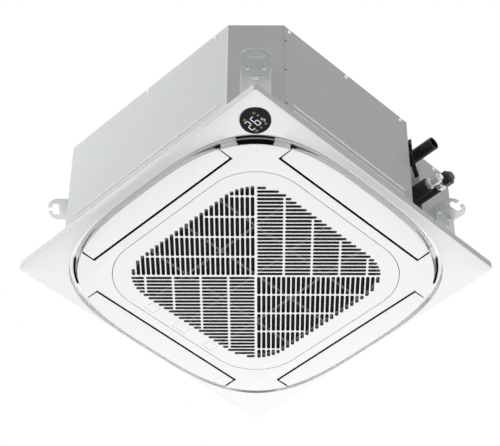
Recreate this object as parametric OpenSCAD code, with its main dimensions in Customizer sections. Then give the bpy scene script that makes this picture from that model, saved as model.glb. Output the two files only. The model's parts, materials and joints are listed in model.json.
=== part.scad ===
// Compact four-way ceiling cassette air conditioner, hung from four rods.
// The origin is the middle of the ceiling plane, where the panel's back face lies. +Z points up.
// The corner with the display is at +X -Y, and the pipes leave at the +X +Y corner.

/* [Panel] */
// Side of the square panel
panel_w = 620; // [610:1:640]
// Depth of the panel's rim below the ceiling
rim_h = 15; // [13:0.5:18]
// Radius of the panel's outer corners
panel_corner_r = 6; // [3:0.5:10]
// Wall of the moulded panel
panel_wall = 2.5; // [2:0.1:3]
// Distance from the panel's side to the raised lip
lip_margin = 10.5; // [8:0.5:13]
// Drop of the raised lip below the rim
lip_drop = 10.5; // [9:0.5:12]
// Drop of the flat centre below the rim
face_drop = 18; // [17:0.5:20]
// Width of the lip's top
lip_top_w = 1; // [0.5:0.1:2]
// Width of the slope inside the lip
lip_slope_w = 9.5; // [8:0.5:11]
// Height of the slope inside the lip
lip_slope_h = 6; // [4:0.5:7]
// Squareness of the lip's outline, where 2 is a circle
lip_power = 3.35; // [3.3:0.05:3.6]
// Squareness of the centre's outline
centre_power = 3.2; // [3.1:0.05:3.25]

/* [Outlets and louvers] */
// Width of an outlet
outlet_w = 53; // [50:0.5:55]
// Length of an outlet
outlet_len = 361; // [350:1:365]
// Gap between a louver and the centre panel
louver_side_gap = 4.5; // [3:0.1:5]
// Gap at each end of a louver
louver_end_gap = 2.8; // [2:0.1:4]
// Gap between a louver's curved edge and the slope inside the lip
louver_lip_gap = 1; // [0.8:0.1:2]
// Thickness of a louver
louver_t = 4.5; // [3.5:0.1:5]
// Rise of a louver's face towards its curved edge
louver_rise = 3.5; // [0:0.5:4]
// Distance from a louver's straight edge to its hinge
louver_hinge_inset = 7.5; // [7:0.5:10]
// Radius of a louver's hinge pins
louver_pin_r = 2.5; // [2:0.1:3]
// Length of a corner air slot
slot_len = 57; // [40:1:65]

/* [Grille and filter] */
// Width of the plain band between the louvers and the grille
centre_band_w = 19; // [18:0.5:22]
// Corner radius of the grille
grille_corner_r = 101; // [95:1:110]
// Gap round the grille
grille_gap = 1.3; // [1.2:0.1:1.6]
// Plain margin round the grille's slots
field_margin = 30; // [28:1:36]
// Corner radius of the slotted field
field_corner_r = 81; // [75:1:90]
// Distance between the slots
slot_pitch = 9.13; // [8.8:0.01:12]
// Width of a slot
slot_w = 5.5; // [4.5:0.1:6]
// Width of the two crossing bars
bar_w = 4.8; // [4:0.1:6]
// Distance between the cross ribs
rib_pitch = 51; // [45:1:60]
// Width of a cross rib
rib_w = 4.2; // [3:0.1:5]
// Depth of the slats
slat_h = 3.5; // [3.2:0.1:5]
// Distance from the grille's edge out to its hinge, behind the panel
grille_hinge_out = 9; // [8.5:0.1:9.5]
// Radius of the grille's hinge pins
grille_pin_r = 1.5; // [1:0.1:1.8]
// Thickness of the filter's frame
filter_t = 4; // [3:0.5:5]

/* [Display] */
// Radius of the round display
display_r = 27; // [24:0.5:28]
// Thickness of the display's window
display_t = 2.5; // [2:0.1:3]

/* [Cabinet] */
// Reach of the panel beyond each side of the cabinet
panel_overhang = 25; // [23:0.5:28]
// Height of the cabinet above the ceiling plane
body_h = 260; // [250:1:300]
// Leg of the cut corners
corner_cut = 71.5; // [68:0.5:76]
// Thickness of the sheet steel
sheet_t = 1.2; // [0.8:0.1:1.5]
// Thickness of the foam lining
foam_t = 10; // [8:0.5:11]
// Distance from the middle to the near end of the pipe recess
recess_start = 120; // [118:1:124]
// Distance from the middle to the far end of the pipe recess
recess_end = 197; // [196:1:202]
// Depth of the pipe recess
recess_depth = 80; // [78:1:82]
// Depth of the step beyond the pipe recess
step_depth = 40; // [38:1:44]

/* [Hangers] */
// Height of the hanger hooks above the ceiling plane
hook_z = 143; // [120:1:160]
// Width of a hanger bracket
hook_w = 54; // [50:1:60]
// Reach of a hanger hook
hook_reach = 43; // [41:1:50]
// Distance from the cabinet's face to the hook's slot
hook_slot_out = 29; // [28:0.5:31]
// Width of the slot that takes the hanger rod
hook_slot_w = 13; // [11:0.5:14]
// Length of the slot that takes the hanger rod
hook_slot_len = 32; // [28:1:34]
// Thickness of a hanger bracket
hook_t = 2; // [1.5:0.1:3]

/* [Fan and motor] */
// Outer radius of the fan
fan_r = 155; // [150:1:158]
// Radius of the fan's intake
fan_inlet_r = 130; // [126:1:134]
// Height of the fan's lower edge
fan_z = 56; // [54:1:60]
// Height of the fan
fan_h = 122; // [115:1:126]
// Number of blades
blade_count = 7; // [5:1:9]
// Thickness of a blade
blade_t = 3; // [2:0.5:4]
// Radius of the motor's shaft
shaft_r = 6; // [5:0.5:7]
// Radius of the motor
motor_r = 52; // [46:1:54]

/* [Coil and drain pan] */
// Half width of the coil's outer face
coil_half = 207; // [205:1:208]
// Depth of the coil's fins
coil_depth = 27; // [25:1:28]
// Corner radius of the coil's outer face
coil_corner_r = 48; // [45:1:52]
// Gap between the coil and the foam above it
coil_gap = 2; // [1.5:0.5:20]
// Height of the drain pan
pan_h = 52; // [50:1:54]
// Height of the trough's floor
trough_z = 30; // [26:1:32]

/* [Pipes] */
// Outer radius of the drain pipe
drain_r = 12.5; // [11:0.5:13]
// Outer radius of the gas pipe
gas_r = 6.35; // [6.35:0.05:7.95]
// Outer radius of the liquid pipe
liquid_r = 3.175; // [3.175:0.05:4.76]
// Radius of the pipes' insulation
sleeve_r = 14; // [12:0.5:15]

/* [Hidden] */

$fn = 64;
// Overrun of every cut
cut = 1;
// Gap between pieces that lie against each other without touching
seat_gap = 0.3;
// Steps along half a side of the lip's outline
ring_steps = 10;

// Heights, worked out from the ceiling plane
rim_z = -rim_h;
lip_z = -rim_h - lip_drop;
face_z = -rim_h - face_drop;
well_z = lip_z + lip_slope_h;

// Half widths of the panel's outlines
panel_half = panel_w / 2;
lip_half = panel_half - lip_margin;
well_top_half = lip_half - lip_top_w;
well_half = well_top_half - lip_slope_w;
centre_half = well_half - louver_lip_gap;
outlet_in = well_half - outlet_w;
opening_half = outlet_in - centre_band_w;
grille_half = opening_half - grille_gap;
field_half = grille_half - field_margin;
plate_t = 3;
centre_wall_top = well_z + panel_wall;
opening_r = grille_corner_r + grille_gap;

// Cabinet outline
body_half = panel_half - panel_overhang;
cut_side = body_half - corner_cut;

// Fan and motor heights
fan_top = fan_z + fan_h;
top_z = body_h - sheet_t;

// Places of the four sides of a square, as quarter turns
SIDES = [0:3];

// Slopes of the rays through one side's points, closer together at the round corners
corner_share = 1 - panel_corner_r / panel_half;
HALF_SLOPES = [for (j = [1:ring_steps - 1]) j / ring_steps * corner_share];
CORNER_SLOPES = [corner_share, (1 + corner_share) / 2];
SLOPES = concat(
    [-1, -CORNER_SLOPES[1], -CORNER_SLOPES[0]],
    [for (j = [ring_steps - 2:-1:0]) -HALF_SLOPES[j]],
    [0], HALF_SLOPES, CORNER_SLOPES
);
RAYS = [for (side = SIDES, slope = SLOPES) let (a = 90 * side + atan(slope)) [cos(a), sin(a)]];
// A square with bulging sides, like the outline of a cushion
function bulged(half, power) = [
    for (d = RAYS) d * half / pow(pow(abs(d.x), power) + pow(abs(d.y), power), 1 / power)
];
// A square with round corners, met by the same rays
function rounded(half, r) = [
    for (d = RAYS)
        let (
            long = max(abs(d.x), abs(d.y)),
            short = min(abs(d.x), abs(d.y)),
            along = (long + short) * (half - r)
        )
            half * short / long <= half - r ? d * half / long
                : d * (along + sqrt(along * along - 2 * pow(half - r, 2) + r * r))
];

// A ring-shaped solid whose skin passes through outlines of equal length, one at each height, and
// back from the last to the first
module ring_loft(outlines, heights) {
    n = len(outlines[0]);
    count = len(outlines);
    points = [for (i = [0:count - 1], p = outlines[i]) [p.x, p.y, heights[i]]];
    faces = [
        for (i = [0:count - 1], j = [0:n - 1])
            let (
                a = i * n + j,
                b = i * n + (j + 1) % n,
                c = (i + 1) % count * n + (j + 1) % n,
                d = (i + 1) % count * n + j
            )
                each [[a, b, c], [a, c, d]]
    ];
    polyhedron(points, faces);
}

// A flat square with round corners, drawn from bars and discs so that its arcs stay true
module round_square(half, r) {
    square([2 * half, 2 * (half - r)], center = true);
    square([2 * (half - r), 2 * half], center = true);
    for (side = SIDES)
        rotate(90 * side)
            translate([half - r, half - r])
                circle(r);
}

// A hexagonal bar, measured across its flats
module hex_bar(across, h) {
    cylinder(d = across / cos(30), h = h, $fn = 6);
}

// Panel

// The four outlets in plan, each wider by the amount given
module outlets_plan(grow) {
    for (side = SIDES)
        rotate(90 * side)
            translate([outlet_in - grow, -outlet_len / 2 - grow])
                square([panel_half - outlet_in, outlet_len + 2 * grow]);
}

module centre_plan(inset) {
    difference() {
        polygon(bulged(centre_half - inset, centre_power));
        outlets_plan(inset);
        round_square(opening_half + inset, opening_r + inset);
    }
}

// The corner slots in plan
module slots_plan() {
    for (side = SIDES)
        rotate(45 + 90 * side)
            translate([centre_half, -slot_len / 2])
                square([panel_half, slot_len]);
}

// Where the display lies on the slope between the lip and the corner
corner_lip = lip_half * pow(2, -1 / lip_power);
display_tilt = atan(lip_drop / ((panel_half - corner_lip) * sqrt(2)));
display_at = corner_lip + display_r / sqrt(2) + lip_top_w;
display_z = lip_z + (display_at - corner_lip) * sqrt(2) * tan(display_tilt);
display_proud = 0.5;
display_seat_t = 2;
module at_display() {
    translate([display_at, -display_at, display_z])
        rotate([0, 0, -45])
            rotate([0, -display_tilt, 0])
                children();
}

// Screws that hold the panel, in the corners of the grille's opening
panel_screw_r = 3;
panel_screw_out = (opening_half - opening_r) * sqrt(2) + opening_r - 4 * panel_screw_r;
panel_screw_head = 3;

louver_hinge_x = outlet_in + louver_side_gap + louver_hinge_inset;
louver_hinge_rise = 8;
louver_hinge_z = face_z + louver_hinge_rise;
pin_clearance = 0.15;
floor_t = 0.8 * panel_wall;

// Height where the moulded lip gives way to the plain upright rim
band_z = rim_z + 2 * panel_wall;
rim_in = panel_half - panel_wall;
rim_in_r = panel_corner_r - panel_wall;
well_back = well_half + panel_wall;
module panel_shell() {
    ring_loft(
        [
            rounded(panel_half, panel_corner_r),
            rounded(panel_half, panel_corner_r),
            bulged(lip_half, lip_power),
            bulged(well_top_half, lip_power),
            bulged(well_half, lip_power),
            bulged(well_half, lip_power),
            bulged(well_back, lip_power),
            bulged(well_back, lip_power),
            bulged((lip_half + well_top_half) / 2, lip_power),
            rounded(rim_in, rim_in_r),
            rounded(rim_in, rim_in_r)
        ],
        [
            band_z, rim_z, lip_z, lip_z, well_z, band_z,
            band_z, well_z + panel_wall, lip_z + panel_wall, rim_z + panel_wall, band_z
        ]
    );
    translate([0, 0, band_z])
        linear_extrude(-band_z)
            difference() {
                polygon(rounded(panel_half, panel_corner_r));
                polygon(rounded(rim_in, rim_in_r));
            }
}

module panel_frame() {
    color("white")
        difference() {
            union() {
                panel_shell();
                // seat behind the display
                at_display()
                    translate([0, 0, panel_wall / 2])
                        cylinder(r = display_r + panel_wall, h = display_t + display_seat_t - panel_wall / 2);
                // flat centre with its turned-up edges
                translate([0, 0, face_z])
                    linear_extrude(plate_t)
                        centre_plan(0);
                translate([0, 0, face_z])
                    linear_extrude(centre_wall_top - face_z)
                        difference() {
                            centre_plan(0);
                            centre_plan(panel_wall);
                        }
                // floor between the centre and the lip, open at the outlets and corner slots
                translate([0, 0, centre_wall_top - floor_t])
                    linear_extrude(floor_t)
                        difference() {
                            polygon(bulged(well_half + panel_wall / 2, lip_power));
                            polygon(bulged(centre_half - panel_wall, centre_power));
                            outlets_plan(0);
                            slots_plan();
                        }
            }
            at_display()
                translate([0, 0, -panel_wall])
                    cylinder(r = display_r + seat_gap, h = panel_wall + display_t);
            at_display()
                translate([0, 0, -panel_wall])
                    cylinder(r = display_r - 2 * panel_wall, h = 4 * panel_wall + display_t);
            for (side = SIDES)
                rotate(90 * side)
                    translate([louver_hinge_x, -outlet_len / 2 - 2 * panel_wall, louver_hinge_z])
                        rotate([-90, 0, 0])
                            cylinder(r = louver_pin_r + pin_clearance, h = outlet_len + 4 * panel_wall);
            // room for the hinges, whose arms reach over the edge of the grille's opening
            for (y = [-hinge_at, hinge_at])
                translate([opening_half - cut, y - hinge_room_w / 2, face_z + hinge_floor_t])
                    cube([hinge_room_l + cut, hinge_room_w, centre_wall_top - face_z]);
        }
}

// The frame behind the panel that forms the air ducts and carries the grille's hinge
duct_top = -3;
duct_floor = centre_wall_top + seat_gap;
duct_wall = 2;
duct_in = outlet_in - panel_wall;
duct_out = well_half - 3 * panel_wall;
duct_end = outlet_len / 2 + seat_gap;
opening_rim = opening_half + panel_wall;
hinge_rise = 4.5;
hinge_z = face_z + hinge_rise;
hinge_x = grille_half + grille_hinge_out;
hinge_at = 90;
hinge_ear_r = 3;
hinge_ear_w = 4;
// Panel left below the hinge
hinge_floor_t = hinge_rise - hinge_ear_r - seat_gap;
arm_w = 6;
arm_t = 2;
arm_foot_l = 10;
arm_clearance = 0.4;
// The arms stay outside the circle that the opening's edge lies on, about the hinge
arm_in = norm([grille_hinge_out - grille_gap, hinge_rise]) + arm_clearance;
arm_out = arm_in + arm_t;
hinge_room_w = arm_w + 2 * hinge_ear_w + 4 * seat_gap;
hinge_room_l = hinge_x + hinge_ear_r + seat_gap - opening_half;
ledge_in = panel_screw_out - 3 * panel_screw_r;
louver_motor_r = 10.5;
louver_motor_len = 16;
motor_cut_w = 2 * (louver_motor_r + cut);
louver_motor_x = louver_hinge_x - louver_motor_r / 2;
louver_motor_lift = 4;
louver_motor_z = louver_hinge_z + louver_pin_r + louver_motor_lift;
louver_motor_y = duct_end + duct_wall + seat_gap;

// The four ducts in plan, each wider by the amount given, within the curve of the lip
module duct_plan(grow) {
    intersection() {
        for (side = SIDES)
            rotate(90 * side)
                translate([duct_in - grow, -duct_end - grow])
                    square([duct_out - duct_in + 2 * grow, 2 * (duct_end + grow)]);
        polygon(bulged(well_half - panel_wall - duct_wall + grow, lip_power));
    }
}

// A bar on the hinge's axis, through both ears of each hinge
module hinge_bars(r) {
    for (y = [-hinge_at, hinge_at])
        translate([hinge_x, y - arm_w / 2 - hinge_ear_w - seat_gap, hinge_z])
            rotate([-90, 0, 0])
                cylinder(r = r, h = arm_w + 2 * hinge_ear_w + 2 * seat_gap);
}

// One arm of the grille's hinge, about its pin: an eye, a bar up, a quarter ring over the edge of
// the opening, and a foot on the grille's back
module grille_arm() {
    back = plate_t - hinge_rise;
    rotate([90, 0, 0])
        cylinder(r = hinge_ear_r, h = arm_w, center = true);
    translate([-arm_t / 2, -arm_w / 2, 0])
        cube([arm_t, arm_w, arm_in + arm_t / 2]);
    intersection() {
        rotate([90, 0, 0])
            difference() {
                cylinder(r = arm_out, h = arm_w, center = true);
                cylinder(r = arm_in, h = arm_w + cut, center = true);
            }
        translate([-arm_out - cut, -arm_w, back])
            cube([arm_out + cut + arm_t / 2, 2 * arm_w, arm_out + cut - back]);
    }
    translate([-arm_in - arm_t / 2 - arm_foot_l, -arm_w / 2, back])
        cube([arm_foot_l, arm_w, arm_t]);
}

module duct_frame() {
    color("gainsboro")
        difference() {
            union() {
                translate([0, 0, duct_floor])
                    linear_extrude(duct_wall)
                        difference() {
                            polygon(bulged(well_half - panel_wall, lip_power));
                            round_square(opening_rim, opening_r);
                            duct_plan(0);
                        }
                translate([0, 0, duct_floor])
                    linear_extrude(duct_top - duct_floor)
                        difference() {
                            duct_plan(duct_wall);
                            duct_plan(0);
                        }
                // plate over the end of the duct that lies under the pipe recess
                translate([0, 0, duct_top - duct_wall])
                    linear_extrude(duct_wall)
                        intersection() {
                            duct_plan(duct_wall);
                            translate([0, recess_start - foam_t])
                                square([panel_half, duct_end - recess_start + foam_t + duct_wall / 2]);
                            translate([duct_in, 0])
                                square(panel_half);
                        }
                // rim round the grille's opening
                translate([0, 0, duct_floor])
                    linear_extrude(duct_top - duct_floor)
                        difference() {
                            round_square(opening_rim + duct_wall, opening_r + duct_wall);
                            round_square(opening_rim, opening_r);
                        }
                // ledges that the panel's screws pass through
                for (side = SIDES)
                    rotate(45 + 90 * side)
                        translate([ledge_in, -4 * panel_screw_r, duct_floor])
                            cube([9 * panel_screw_r, 8 * panel_screw_r, duct_wall]);
                // two ears for each of the grille's hinges
                for (y = [-hinge_at, hinge_at], flip = [0, 1])
                    translate([hinge_x, y, hinge_z])
                        mirror([0, flip, 0])
                            translate([0, arm_w / 2 + seat_gap, 0]) {
                                translate([-hinge_ear_r, 0, 0])
                                    cube([2 * hinge_ear_r, hinge_ear_w, duct_floor + floor_t / 2 - hinge_z]);
                                rotate([-90, 0, 0])
                                    cylinder(r = hinge_ear_r, h = hinge_ear_w);
                            }
            }
            for (side = SIDES)
                rotate(45 + 90 * side)
                    translate([panel_screw_out, 0, duct_floor - cut])
                        cylinder(r = panel_screw_r + seat_gap, h = duct_wall + 2 * cut);
            hinge_bars(grille_pin_r + pin_clearance);
            // windows over the arms of the hinges
            for (y = [-hinge_at, hinge_at])
                translate([hinge_x - arm_out - seat_gap, y - arm_w / 2 - seat_gap / 2, duct_floor - cut])
                    cube([arm_out + arm_t, arm_w + seat_gap, duct_wall + 2 * cut]);
            // cut-outs for the motors of the louvers
            for (side = SIDES)
                rotate(90 * side)
                    translate([louver_motor_x - motor_cut_w / 2, louver_motor_y - seat_gap, duct_floor - cut])
                        cube([motor_cut_w, louver_motor_len + 2 * cut, duct_wall + 2 * cut]);
        }
}

// Foam that seals each duct against the cabinet
module duct_seals() {
    color("dimgray")
        translate([0, 0, duct_top])
            linear_extrude(-duct_top - seat_gap)
                difference() {
                    duct_plan(duct_wall);
                    duct_plan(0);
                }
}

module panel_screws() {
    color("silver")
        for (side = SIDES)
            rotate(45 + 90 * side)
                translate([panel_screw_out, 0, duct_floor]) {
                    cylinder(r = panel_screw_r, h = trough_z - duct_floor - pan_floor - 4 * seat_gap);
                    difference() {
                        translate([0, 0, -panel_screw_head])
                            cylinder(r = 2 * panel_screw_r, h = panel_screw_head);
                        translate([0, 0, -panel_screw_head - cut])
                            hex_bar(2 * panel_screw_r, cut + panel_screw_head / 2);
                    }
                }
}

// Display

module display_window() {
    color([0.03, 0.03, 0.04])
        at_display()
            translate([0, 0, -display_proud])
                cylinder(r = display_r, h = display_t + display_proud);
}

module display_board() {
    color("seagreen")
        at_display()
            translate([0, 0, display_t + seat_gap])
                cylinder(r = display_r - 2 * panel_wall - seat_gap, h = display_seat_t);
}

// Louvers

// One louver on the +X side, in its closed place
module louver() {
    in = outlet_in + louver_side_gap;
    half = outlet_len / 2 - louver_end_gap;
    pin_end = outlet_len / 2 + panel_wall;
    intersection() {
        translate([0, half, 0])
            rotate([90, 0, 0])
                linear_extrude(2 * half)
                    polygon([
                        [in, face_z],
                        [panel_half, face_z + louver_rise],
                        [panel_half, face_z + louver_rise + louver_t / 2],
                        [louver_hinge_x, face_z + louver_t],
                        [in, face_z + louver_t / 2]
                    ]);
        translate([0, 0, face_z - cut])
            linear_extrude(2 * louver_t + louver_rise)
                polygon(bulged(centre_half, centre_power));
    }
    difference() {
        union() {
            for (flip = [0, 1])
                mirror([0, flip, 0]) {
                    translate([louver_hinge_x, half - louver_t, louver_hinge_z])
                        rotate([-90, 0, 0])
                            cylinder(r = 1.6 * louver_pin_r, h = louver_t);
                    translate([louver_hinge_x - 1.6 * louver_pin_r, half - louver_t, face_z + louver_t / 2])
                        cube([3.2 * louver_pin_r, louver_t, louver_hinge_z - face_z - louver_t / 2]);
                    translate([louver_hinge_x, half - louver_t, louver_hinge_z])
                        rotate([-90, 0, 0])
                            cylinder(r = louver_pin_r, h = pin_end - half + louver_t);
                }
            // stiffening rib
            translate([louver_hinge_x - louver_t / 4, -half + cut, face_z + louver_t / 2])
                cube([louver_t / 2, 2 * (half - cut), louver_hinge_z - face_z - louver_t / 2]);
        }
        // socket for the motor's shaft
        translate([louver_hinge_x, pin_end - louver_t, louver_hinge_z])
            rotate([-90, 0, 0])
                cylinder(r = louver_pin_r / 2 + pin_clearance, h = louver_t + cut);
    }
}

module louver_on(side) {
    color("white")
        rotate(90 * side)
            louver();
}

module louver_1() {
    louver_on(0);
}

module louver_2() {
    louver_on(1);
}

module louver_3() {
    louver_on(2);
}

module louver_4() {
    louver_on(3);
}

module louver_motor_on(side) {
    color("lightgray")
        rotate(90 * side) {
            translate([louver_motor_x, louver_motor_y, louver_motor_z])
                rotate([-90, 0, 0])
                    cylinder(r = louver_motor_r, h = louver_motor_len);
            translate([louver_hinge_x, louver_motor_y - louver_t + seat_gap, louver_hinge_z])
                rotate([-90, 0, 0])
                    cylinder(r = louver_pin_r / 2, h = louver_motor_len / 2);
        }
}

module louver_motor_1() {
    louver_motor_on(0);
}

module louver_motor_2() {
    louver_motor_on(1);
}

module louver_motor_3() {
    louver_motor_on(2);
}

module louver_motor_4() {
    louver_motor_on(3);
}

// Intake grille

// How far a slot at distance v from the bar reaches along its own direction
function slot_reach(v) =
    let (r = field_corner_r, straight = field_half - field_corner_r)
        v < r / sqrt(2) ? straight * sqrt(2) + sqrt(r * r - v * v)
            : v < (2 * field_half - r) / sqrt(2) ? field_half * sqrt(2) - v
                : sqrt(max(0, r * r - pow(v - straight * sqrt(2), 2)));

slot_first = (bar_w + slot_w) / 2;
slot_shortest = 1.7 * slot_w;
slot_count = floor((sqrt(2) * (field_half - field_corner_r) + field_corner_r - slot_first) / slot_pitch);

// A slot with round ends, from one distance along the bar to another
module slot(from, to, v) {
    translate([from + slot_w / 2, v - slot_w / 2])
        square([to - from - slot_w, slot_w]);
    for (u = [from + slot_w / 2, to - slot_w / 2])
        translate([u, v])
            circle(d = slot_w, $fn = 16);
}

// The slots of one quarter, between one bar and the next
module slot_quarter() {
    for (k = [0:slot_count]) {
        v = slot_first + k * slot_pitch;
        reach = slot_reach(v + slot_w / 2);
        for (j = [0:ceil(reach / rib_pitch)]) {
            from = j * rib_pitch + (j == 0 ? bar_w : rib_w) / 2;
            to = min(reach, (j + 1) * rib_pitch - rib_w / 2);
            if (to - from > slot_shortest)
                slot(from, to, v);
        }
    }
}

latch_inset = 16;
latch_x = latch_inset - grille_half;
latch_y = 75.5;
latch_size = [18, 21.7];
cover_size = [18, 30];
latch_travel = 2.5;
latch_clearance = [0.8, 0.8];

module grille_arms() {
    color("white") {
        for (y = [-hinge_at, hinge_at])
            translate([hinge_x, y, hinge_z])
                grille_arm();
        hinge_bars(grille_pin_r);
    }
}
module intake_grille() {
    color("white")
        difference() {
            union() {
                translate([0, 0, face_z])
                    linear_extrude(plate_t)
                        round_square(grille_half, grille_corner_r);
                translate([0, 0, face_z])
                    linear_extrude(slat_h)
                        round_square(field_half + plate_t, field_corner_r + plate_t);
            }
            translate([0, 0, face_z - cut])
                linear_extrude(slat_h + 2 * cut)
                    for (side = SIDES)
                        rotate(45 + 90 * side)
                            mirror([0, 1, 0])
                                slot_quarter();
            for (y = [-latch_y, latch_y])
                translate([latch_x, y, face_z - cut])
                    linear_extrude(plate_t + 2 * cut)
                        square(latch_size + latch_clearance, center = true);
            translate([latch_x, 0, face_z - cut])
                linear_extrude(plate_t + 2 * cut)
                    square(cover_size + latch_clearance, center = true);
        }
}

// A plate that fills a hole in the grille, with a flange behind that keeps it from falling out
module flush_plate(y, size) {
    flange = 3;
    translate([latch_x, y, face_z]) {
        linear_extrude(plate_t + 2 * seat_gap)
            square(size, center = true);
        translate([0, 0, plate_t + seat_gap])
            linear_extrude(plate_t / 2)
                square([size.x + flange, size.y + 2 * flange], center = true);
    }
}

module latch(y) {
    color("white") {
        flush_plate(y, latch_size);
        translate([latch_x, y, face_z + plate_t])
            cylinder(r = latch_size.x / 4, h = plate_t * 1.5);
    }
}

module latch_1() {
    latch(-latch_y);
}

module latch_2() {
    latch(latch_y);
}

module screw_cover() {
    color("white")
        flush_plate(0, cover_size);
}

filter_half = field_half - plate_t;
filter_r = field_corner_r - plate_t;
filter_z = face_z + slat_h + seat_gap;
filter_bar_w = 5;
filter_cells = 4;
mesh_t = 0.6;

module filter_frame() {
    cell = (2 * filter_half - filter_bar_w) / filter_cells;
    first = [filter_bar_w - filter_half, filter_bar_w - filter_half];
    color("dimgray")
        translate([0, 0, filter_z])
            linear_extrude(filter_t - mesh_t)
                difference() {
                    round_square(filter_half, filter_r);
                    intersection() {
                        round_square(filter_half - filter_bar_w, filter_r - filter_bar_w);
                        for (i = [0:filter_cells - 1], j = [0:filter_cells - 1])
                            translate(first + cell * [i, j])
                                square(cell - filter_bar_w);
                    }
                }
}

module filter_mesh() {
    color("black")
        translate([0, 0, filter_z + filter_t - mesh_t])
            linear_extrude(mesh_t)
                round_square(filter_half - mesh_t, filter_r - mesh_t);
}

// Cabinet

wall_in = body_half - recess_depth;
wall_step = body_half - step_depth;

// Outline of the cabinet, drawn inwards by the amount given
module cabinet_plan(inset) {
    side = body_half - inset;
    k = cut_side - inset * (sqrt(2) - 1);
    polygon([
        [side, -k], [side, recess_start - inset],
        [wall_in - inset, recess_start - inset], [wall_in - inset, recess_end + inset],
        [wall_step - inset, recess_end + inset], [wall_step - inset, side],
        [-k, side], [-side, k], [-side, -k], [-k, -side], [k, -side]
    ]);
}

drain_y = 156;
drain_z = 204.5;
liquid_y = 150;
liquid_z = 98.4;
gas_y = 178;
gas_z = 119.5;
pipe_hole = 1;
drain_overhang = 8;
drain_end = panel_half + drain_overhang;

// Each pipe's cut through the wall of the recess
module pipe_holes(inner, outer, grow) {
    translate([inner, drain_y, drain_z])
        rotate([0, 90, 0])
            cylinder(r = drain_r + grow, h = outer - inner);
    translate([inner, liquid_y, liquid_z])
        rotate([0, 90, 0])
            cylinder(r = sleeve_r + grow, h = outer - inner);
    translate([inner, gas_y, gas_z])
        rotate([0, 90, 0])
            cylinder(r = sleeve_r + grow, h = outer - inner);
}

// Hangers

face_out = (body_half + cut_side) / sqrt(2);
hook_step_inset = 23;
hook_step_y = body_half - hook_step_inset;
strap_z = 30;
hook_screw_r = 2;
hook_screw_head = 2.5;
hook_screw_gap = 30;
// Step on each side of the slot's mouth
hook_lip = 1;
window_w = 21;
window_top = 22;
window_h = 25;
HANGERS = [[-45, face_out, 0], [-135, face_out, 0], [135, face_out, 0], [0, wall_step, hook_step_y]];

module at_hanger(number) {
    place = HANGERS[number - 1];
    rotate(place[0])
        translate([place[1], place[2], 0])
            children();
}

module at_hook_screws() {
    low = hook_z - hook_t - 2.2 * hook_screw_r;
    for (y = [-hook_screw_gap / 2, hook_screw_gap / 2])
        translate([0, y, low])
            rotate([0, 90, 0])
                children();
    translate([0, 0, hook_z - window_top - window_h / 2])
        rotate([0, 90, 0])
            children();
}

module hanger_bracket(number) {
    hook_r = 20;
    slot_middle = (hook_slot_len - hook_slot_w) / 2;
    color("gainsboro")
        at_hanger(number)
            difference() {
                union() {
                    translate([0, -hook_w / 2, strap_z])
                        cube([hook_t, hook_w, hook_z - strap_z]);
                    translate([0, 0, hook_z - hook_t])
                        linear_extrude(hook_t)
                            difference() {
                                union() {
                                    translate([0, -hook_w / 2])
                                        square([hook_reach - hook_r, hook_w]);
                                    translate([0, hook_r - hook_w / 2])
                                        square([hook_reach, hook_w - 2 * hook_r]);
                                    for (y = [hook_r - hook_w / 2, hook_w / 2 - hook_r])
                                        translate([hook_reach - hook_r, y])
                                            circle(r = hook_r);
                                }
                                translate([hook_slot_out, 0])
                                    square([hook_slot_w, 2 * slot_middle], center = true);
                                for (y = [-slot_middle, slot_middle])
                                    translate([hook_slot_out, y])
                                        circle(d = hook_slot_w);
                                translate([hook_slot_out, hook_lip - hook_slot_w / 2])
                                    square([hook_reach, hook_slot_w - 2 * hook_lip]);
                            }
                }
                at_hook_screws()
                    translate([0, 0, -cut])
                        cylinder(r = hook_screw_r + pin_clearance, h = hook_t + 2 * cut);
                // slit above the tongue that the lower screw holds
                translate([-cut, -window_w / 2, hook_z - window_top - 2 * hook_t])
                    cube([hook_t + 2 * cut, window_w, hook_t]);
            }
}

module hanger_bracket_1() {
    hanger_bracket(1);
}

module hanger_bracket_2() {
    hanger_bracket(2);
}

module hanger_bracket_3() {
    hanger_bracket(3);
}

module hanger_bracket_4() {
    hanger_bracket(4);
}

module hanger_screws() {
    color("silver")
        for (number = [1:4])
            at_hanger(number)
                at_hook_screws() {
                    translate([0, 0, hook_t])
                        cylinder(r = 2 * hook_screw_r, h = hook_screw_head);
                    translate([0, 0, -2 * sheet_t])
                        cylinder(r = hook_screw_r, h = 2 * sheet_t + hook_t + hook_screw_head);
                }
}

flange_w = 12;
module cabinet_shell() {
    color("silver")
        difference() {
            union() {
                linear_extrude(top_z)
                    difference() {
                        cabinet_plan(0);
                        cabinet_plan(sheet_t);
                    }
                linear_extrude(sheet_t)
                    difference() {
                        cabinet_plan(0);
                        cabinet_plan(flange_w);
                    }
            }
            pipe_holes(wall_in - 2 * sheet_t, wall_in + cut, pipe_hole);
            for (number = [1:4])
                at_hanger(number)
                    at_hook_screws()
                        translate([0, 0, -2 * sheet_t])
                            cylinder(r = hook_screw_r + pin_clearance, h = 2 * sheet_t + cut);
            at_casing_screws()
                translate([0, 0, -2 * sheet_t])
                    cylinder(r = casing_screw_r + pin_clearance, h = 2 * sheet_t + cut);
        }
}

casing_screw_r = 1.5;
casing_screw_head = 2.5;
casing_screw_drop = 8.5;
casing_screw_z = body_h - casing_screw_drop;
side_screw_inset = 32.5;
casing_screw_spread = cut_side - side_screw_inset;
corner_screw_inset = 13.5;
recess_screw_inset = 19;
step_screw_inset = 43;
near_screw_y = corner_screw_inset - cut_side;
far_screw_y = recess_start - recess_screw_inset;
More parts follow.
